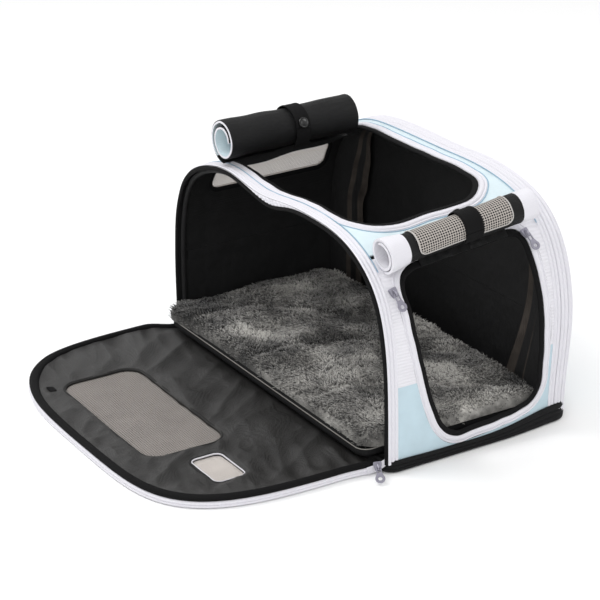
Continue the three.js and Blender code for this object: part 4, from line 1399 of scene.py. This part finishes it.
def strap_piece(name, roll, angles, **facts):
    """A flat strap bent round a roll, with a soft raised edge along both sides."""
    count = max(6, int(abs(angles[1] - angles[0]) / 4))
    angle = np.radians(np.linspace(*angles, count))
    section = [(-0.5, 0.0), (-0.5, 0.5), (-0.46, 0.95), (-0.38, 1.05), (-0.33, 0.85), (0.33, 0.85),
               (0.38, 1.05), (0.46, 0.95), (0.5, 0.5), (0.5, 0.0), (0.3, -0.1), (-0.3, -0.1)]
    rings = []
    for side, height in section:
        r, y = roll["strap_radius"] + height, roll["strap"] + side * roll["strap_width"]
        rings.append(np.stack([r * np.cos(angle), np.full(count, y), r * np.sin(angle)], 1))
    swept(name, roll_to_row(roll, np.stack(rings, 1)), cloth="binding", **facts)


def build_straps():
    """Each strap is sewn down at both ends, and its middle opens with a press stud."""
    for key, roll, anchor, band, end in (("top_", TOP_ROLL, (188.5, 246), (12, 186.5), (-50, 10)),
                                         ("end_", END_ROLL, (-50, -5.5), (-4, 168), (170, 206))):
        strap_piece(key + "strap_anchor", roll, anchor, replaces=key + "strap_root")
        strap_piece(key + "strap_band", roll, band, replaces=key + "strap", body=key + "strap")
        strap_piece(key + "strap_end", roll, end, replaces=key + "strap_tab")
    snap("top_", TOP_ROLL)
    snap("end_", END_ROLL)


def snap(key, roll):
    """A domed press stud with a rolled rim, turned about the roll's radius."""
    profile = [(0, 0), (5.0, 0), (5.6, 0.4), (5.8, 0.9), (5.5, 1.5), (4.8, 1.6), (4.2, 1.25), (3.6, 1.4),
               (2.6, 1.95), (1.3, 2.2), (0, 2.25)]
    a, sides, lift = math.radians(roll["stud"]), 28, 1.0
    out, side = np.array([math.cos(a), 0, math.sin(a)]), np.array([-math.sin(a), 0, math.cos(a)])
    centre = out * (roll["strap_radius"] + lift) + np.array([0, roll["strap"], 0])
    vertices, faces = [centre + out * profile[0][1]], []
    for r, h in profile[1:-1]:
        for k in range(sides):
            t = math.tau * k / sides
            vertices.append(centre + out * h + r * (side * math.cos(t) + np.array([0, 1, 0]) * math.sin(t)))
    vertices.append(centre + out * profile[-1][1])
    for k in range(sides):
        n = (k + 1) % sides
        faces.append((0, 1 + n, 1 + k))
        for ring in range(len(profile) - 3):
            base, above = 1 + ring * sides, 1 + (ring + 1) * sides
            faces.append((base + k, base + n, above + n, above + k))
        last = 1 + (len(profile) - 3) * sides
        faces.append((last + k, last + n, len(vertices) - 1))
    finish_piece(key + "snap_button", roll_to_row(roll, np.array(vertices)), faces, "snap", sharp=35,
                 body=key + "strap", replaces=key + "snap_cap")


# ---------------------------------------------------------------- zip sliders
PULL_HINGE = (-1.9, 5.0)
PULL_EYE = -14.3


def local_vertex(work, matrix, x, y, z):
    """A bmesh vertex at a place in a part's own frame, in millimetres."""
    return work.verts.new(matrix @ (Vector((x, y, z)) * MM))


def skin_rings(work, rings):
    """Quads between rings of vertices, and a face on each end."""
    for below, above in zip(rings, rings[1:]):
        for k in range(len(below)):
            n = (k + 1) % len(below)
            work.faces.new((below[k], below[n], above[n], above[k]))
    work.faces.new(rings[0][::-1])
    work.faces.new(rings[-1])


def bevelled_block(work, matrix, outline, low, high, bevel):
    """A slab with a bevelled top and bottom rim, built into a bmesh."""
    middle = np.mean(outline, axis=0)
    rings = []
    for height, pull_in in ((low, bevel), (low + bevel, 0), (high - bevel, 0), (high, bevel)):
        ring = []
        for x, y in outline:
            away = np.array([x, y]) - middle
            spot = np.array([x, y]) - away / np.linalg.norm(away) * pull_in
            ring.append(local_vertex(work, matrix, *spot, height))
        rings.append(ring)
    skin_rings(work, rings)


def tube_along(work, matrix, path, half_width, half_height):
    """A rounded flat bar that follows a path in the local yz plane."""
    section = oval(10, half_width, half_height)
    path = np.asarray(path, float)
    tangent = np.gradient(path, axis=0)
    tangent /= np.linalg.norm(tangent, axis=1)[:, None]
    rings = []
    for (y, z), (ty, tz) in zip(path, tangent):
        rings.append([local_vertex(work, matrix, x, y - tz * h, z + ty * h) for x, h in section])
    skin_rings(work, rings)


def lacquered(work, name, node):
    """Turns a bmesh into a lacquered piece that rides the body of the node it replaces."""
    mesh = bpy.data.meshes.new(name)
    mesh.materials.append(MATERIALS["lacquer"])
    join_piece(name, mesh, work, 35, node, node, SLOT_OF["lacquer"])


def build_slider(stem, point, normal, tail):
    """Shield-shaped slider in two plates, with the bridge that its pull hangs from."""
    z = Vector(normal).normalized()
    y = -(Vector(tail) - Vector(tail).dot(z) * z).normalized()
    matrix = Matrix.Translation(Vector(point) * MM) @ Matrix((y.cross(z), y, z)).transposed().to_4x4()
    shield = [(-2.2, -5), (2.2, -5), (3.4, -2.4), (4.2, 1.4), (4.2, 4.2), (3.2, 5), (-3.2, 5), (-4.2, 4.2),
              (-4.2, 1.4), (-3.4, -2.4)]
    work = bmesh.new()
    bevelled_block(work, matrix, shield, 0.5, 1.7, 0.25)
    bevelled_block(work, matrix, [(-1.1, -1), (1.1, -1), (1.1, 4.4), (-1.1, 4.4)], 1.4, 3.0, 0.1)
    bevelled_block(work, matrix, shield, 2.7, 3.9, 0.45)
    bridge = [(-4.3, 3.5), (-4.4, 4.6), (-4.2, 5.6), (-3.6, 6.3), (-2.6, 6.65), (-1.0, 6.6), (0.6, 6.2),
              (1.9, 5.4), (2.5, 4.5), (2.6, 3.5)]
    tube_along(work, matrix, bridge, 1.15, 0.42)
    lacquered(work, stem + "_body", stem + "_slider")
    build_pull(stem, matrix @ Matrix.Translation((0, PULL_HINGE[0] * MM, PULL_HINGE[1] * MM)))


def build_pull(stem, hinge):
    """A flat pull with a window below its hinge, and a round eye with a raised rim on both faces."""
    eye = eye_arc(5, np.radians(np.linspace(125, -125, 23)))
    outer = [(-2.2, 0.7), (2.2, 0.7), (2.7, 0.2), (2.7, -7.7)] + eye + [(-2.7, -7.7), (-2.7, 0.2)]
    window = [(-1.3, -0.7), (1.3, -0.7), (1.6, -1.1), (1.6, -6.9), (1.3, -7.3), (-1.3, -7.3), (-1.6, -6.9),
              (-1.6, -1.1)]
    work = bmesh.new()
    plate_with_windows(work, hinge, outer, [window, eye_arc(2.2, circle(18))], 0.7, 0.22)
    for middle in (0.775, -0.775):
        plate_with_windows(work, hinge, eye_arc(3.9, circle(24)), [eye_arc(2.7, circle(24))], 0.175, 0.12,
                           middle)
    lacquered(work, stem + "_tab", stem + "_pull")


def eye_arc(radius, angles):
    """Points about the middle of the pull's eye, by angles from straight below it."""
    return [(radius * math.sin(a), PULL_EYE - radius * math.cos(a)) for a in angles]


def plate_with_windows(work, matrix, outer, windows, half, bevel, middle=0.0):
    """A flat plate with windows through it and eased rims on both faces."""
    flat, triangles = fill_outline(np.array(outer) * MM, [np.array(w) * MM for w in windows])
    flat = flat / MM
    spots = {i: flat[i] for i in np.unique(triangles)}
    eased = dict(spots)
    for loop, sign in [(outer, -1)] + [(w, 1) for w in windows]:
        loop = np.array(loop, float)
        loop = loop if loop_area(loop) > 0 else loop[::-1]
        moved = loop + loop_normals(loop) * sign * bevel
        for index, spot in spots.items():
            match = np.linalg.norm(loop - spot, axis=1)
            if match.min() < 1e-4:
                eased[index] = moved[match.argmin()]
    rim = rim_edges(triangles)

    def level(height, places, kept):
        return {i: local_vertex(work, matrix, *places[i], middle + height) for i in kept}

    bottom, top = level(-half, eased, spots), level(half, eased, spots)
    on_rim = {i for pair in rim for i in pair}
    low, high = level(bevel - half, spots, on_rim), level(half - bevel, spots, on_rim)
    for a, b, c in triangles:
        work.faces.new([bottom[i] for i in (c, b, a)])
        work.faces.new([top[i] for i in (a, b, c)])
    for a, b in rim:
        for below, above in ((bottom, low), (low, high), (high, top)):
            work.faces.new((below[a], below[b], above[b], above[a]))


def build_sliders():
    build_slider("front_door_zip", (217.5, -128.5, 10), (0.45, -0.25, 0.86), (0.8, -0.35, -0.5))
    build_slider("rear_panel_zip", (-220.3, 97, 30), (-1, 0, 0), (0, 0, -1))
    for stem, turn, y, tail in (("end_door_front_zip", 0.2, -98, (0, 0.17, -1)),
                                ("end_door_rear_zip", 0.243, 70, (0, 0.2, -1)),
                                ("top_door_zip", 0.59, -101, (-1, 0, 0))):
        spot, normal = skin_frame(turn, y * MM)
        build_slider(stem, spot / MM, normal, tail)


def skin_frame(turn, y):
    """Point and outward normal on the body's outer surface."""
    point = lambda t, v: arch(np.array([t]), 0, np.array([v]))[0]
    along = point(turn + 0.002, y) - point(turn - 0.002, y)
    across = point(turn, y + MM) - point(turn, y - MM)
    normal = np.cross(across, along)
    return point(turn, y), normal / np.linalg.norm(normal)


# ---------------------------------------------------------------- pieces kept as they are
def dress_kept_nodes():
    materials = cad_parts["base_board"].data.materials
    materials.clear()
    materials.append(MATERIALS["board"])


build_base()
build_front_arch()
build_near_end()
build_roof()
build_far_end()
build_rear()
build_front_door()
build_hinges()
build_mat()
build_top_roll()
build_end_roll()
build_straps()
build_sliders()
dress_kept_nodes()
build_camera()
build_lights()
build_floor()

# ---------------------------------------------------------------- cloth sizes, in metres as cut
SHEETS = [
    ("roof_blue", (0.194, 0.330), "stretched", 0.0193, ["front_zip_rows", "rear_fixed_rows"]),
    ("near_end_white", (0.035, 0.190), "stretched", 0.0056, ["front_zip_rows", "rear_fixed_rows"]),
    ("near_end_blue", (0.194, 0.082), "stretched", 0.0050, ["base_band"]),
    ("far_end_white", (0.194, 0.152), "stretched", 0.0229, ["front_zip_rows", "rear_fixed_rows"]),
    ("far_end_blue", (0.194, 0.082), "stretched", None, ["base_band"]),
    ("rear_white", (0.410, 0.143), "stretched", 0.0535, ["rear_edge_rows"]),
    ("rear_blue", (0.410, 0.081), "stretched", None, ["rear_edge_rows"]),
    ("gusset_folds", (0.100, 0.830), "folded", 0.0505, ["rear_fixed_rows", "rear_moving_rows"]),
    ("door_lining", (0.418, 0.223), "laid", 0.0705, ["door_zip_rows"]),
    ("door_netting", (0.208, 0.091), "stretched", None, ["door_window_trim"]),
    ("door_window_shade_sheet", (0.208, 0.091), "stretched", None, ["door_window_trim"]),
    ("card_netting", (0.059, 0.035), "stretched", None, ["card_window_trim"]),
    ("far_netting", (0.162, 0.045), "stretched", None, ["far_window_trim"]),
    ("front_hinge_cloth", (0.024, 0.406), "folded", None, ["base_band"]),
    ("rear_hinge_cloth", (0.017, 0.360), "folded", None, ["base_band"]),
    ("top_roll_cloth", (0.163, 0.210), "folded", None, ["roof_blue"]),
    ("top_roll_lining", (0.164, 0.195), "folded", None, ["roof_blue"]),
    ("top_hinge_cloth", (0.025, 0.159), "hung", None, ["roof_blue"]),
    ("end_roll_middle", (0.139, 0.123), "folded", None, ["near_end_white"]),
    ("end_roll_front_cuff", (0.0235, 0.158), "folded", None, ["near_end_white"]),
    ("end_roll_rear_cuff", (0.0185, 0.147), "folded", None, ["near_end_white"]),
    ("end_roll_netting", (0.114, 0.0667), "folded", None, ["end_roll_middle"]),
    ("end_hinge_cloth", (0.024, 0.107), "folded", None, ["near_end_white"]),
]
for sheet_name, cut, held, cut_area, below in SHEETS:
    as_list(below)
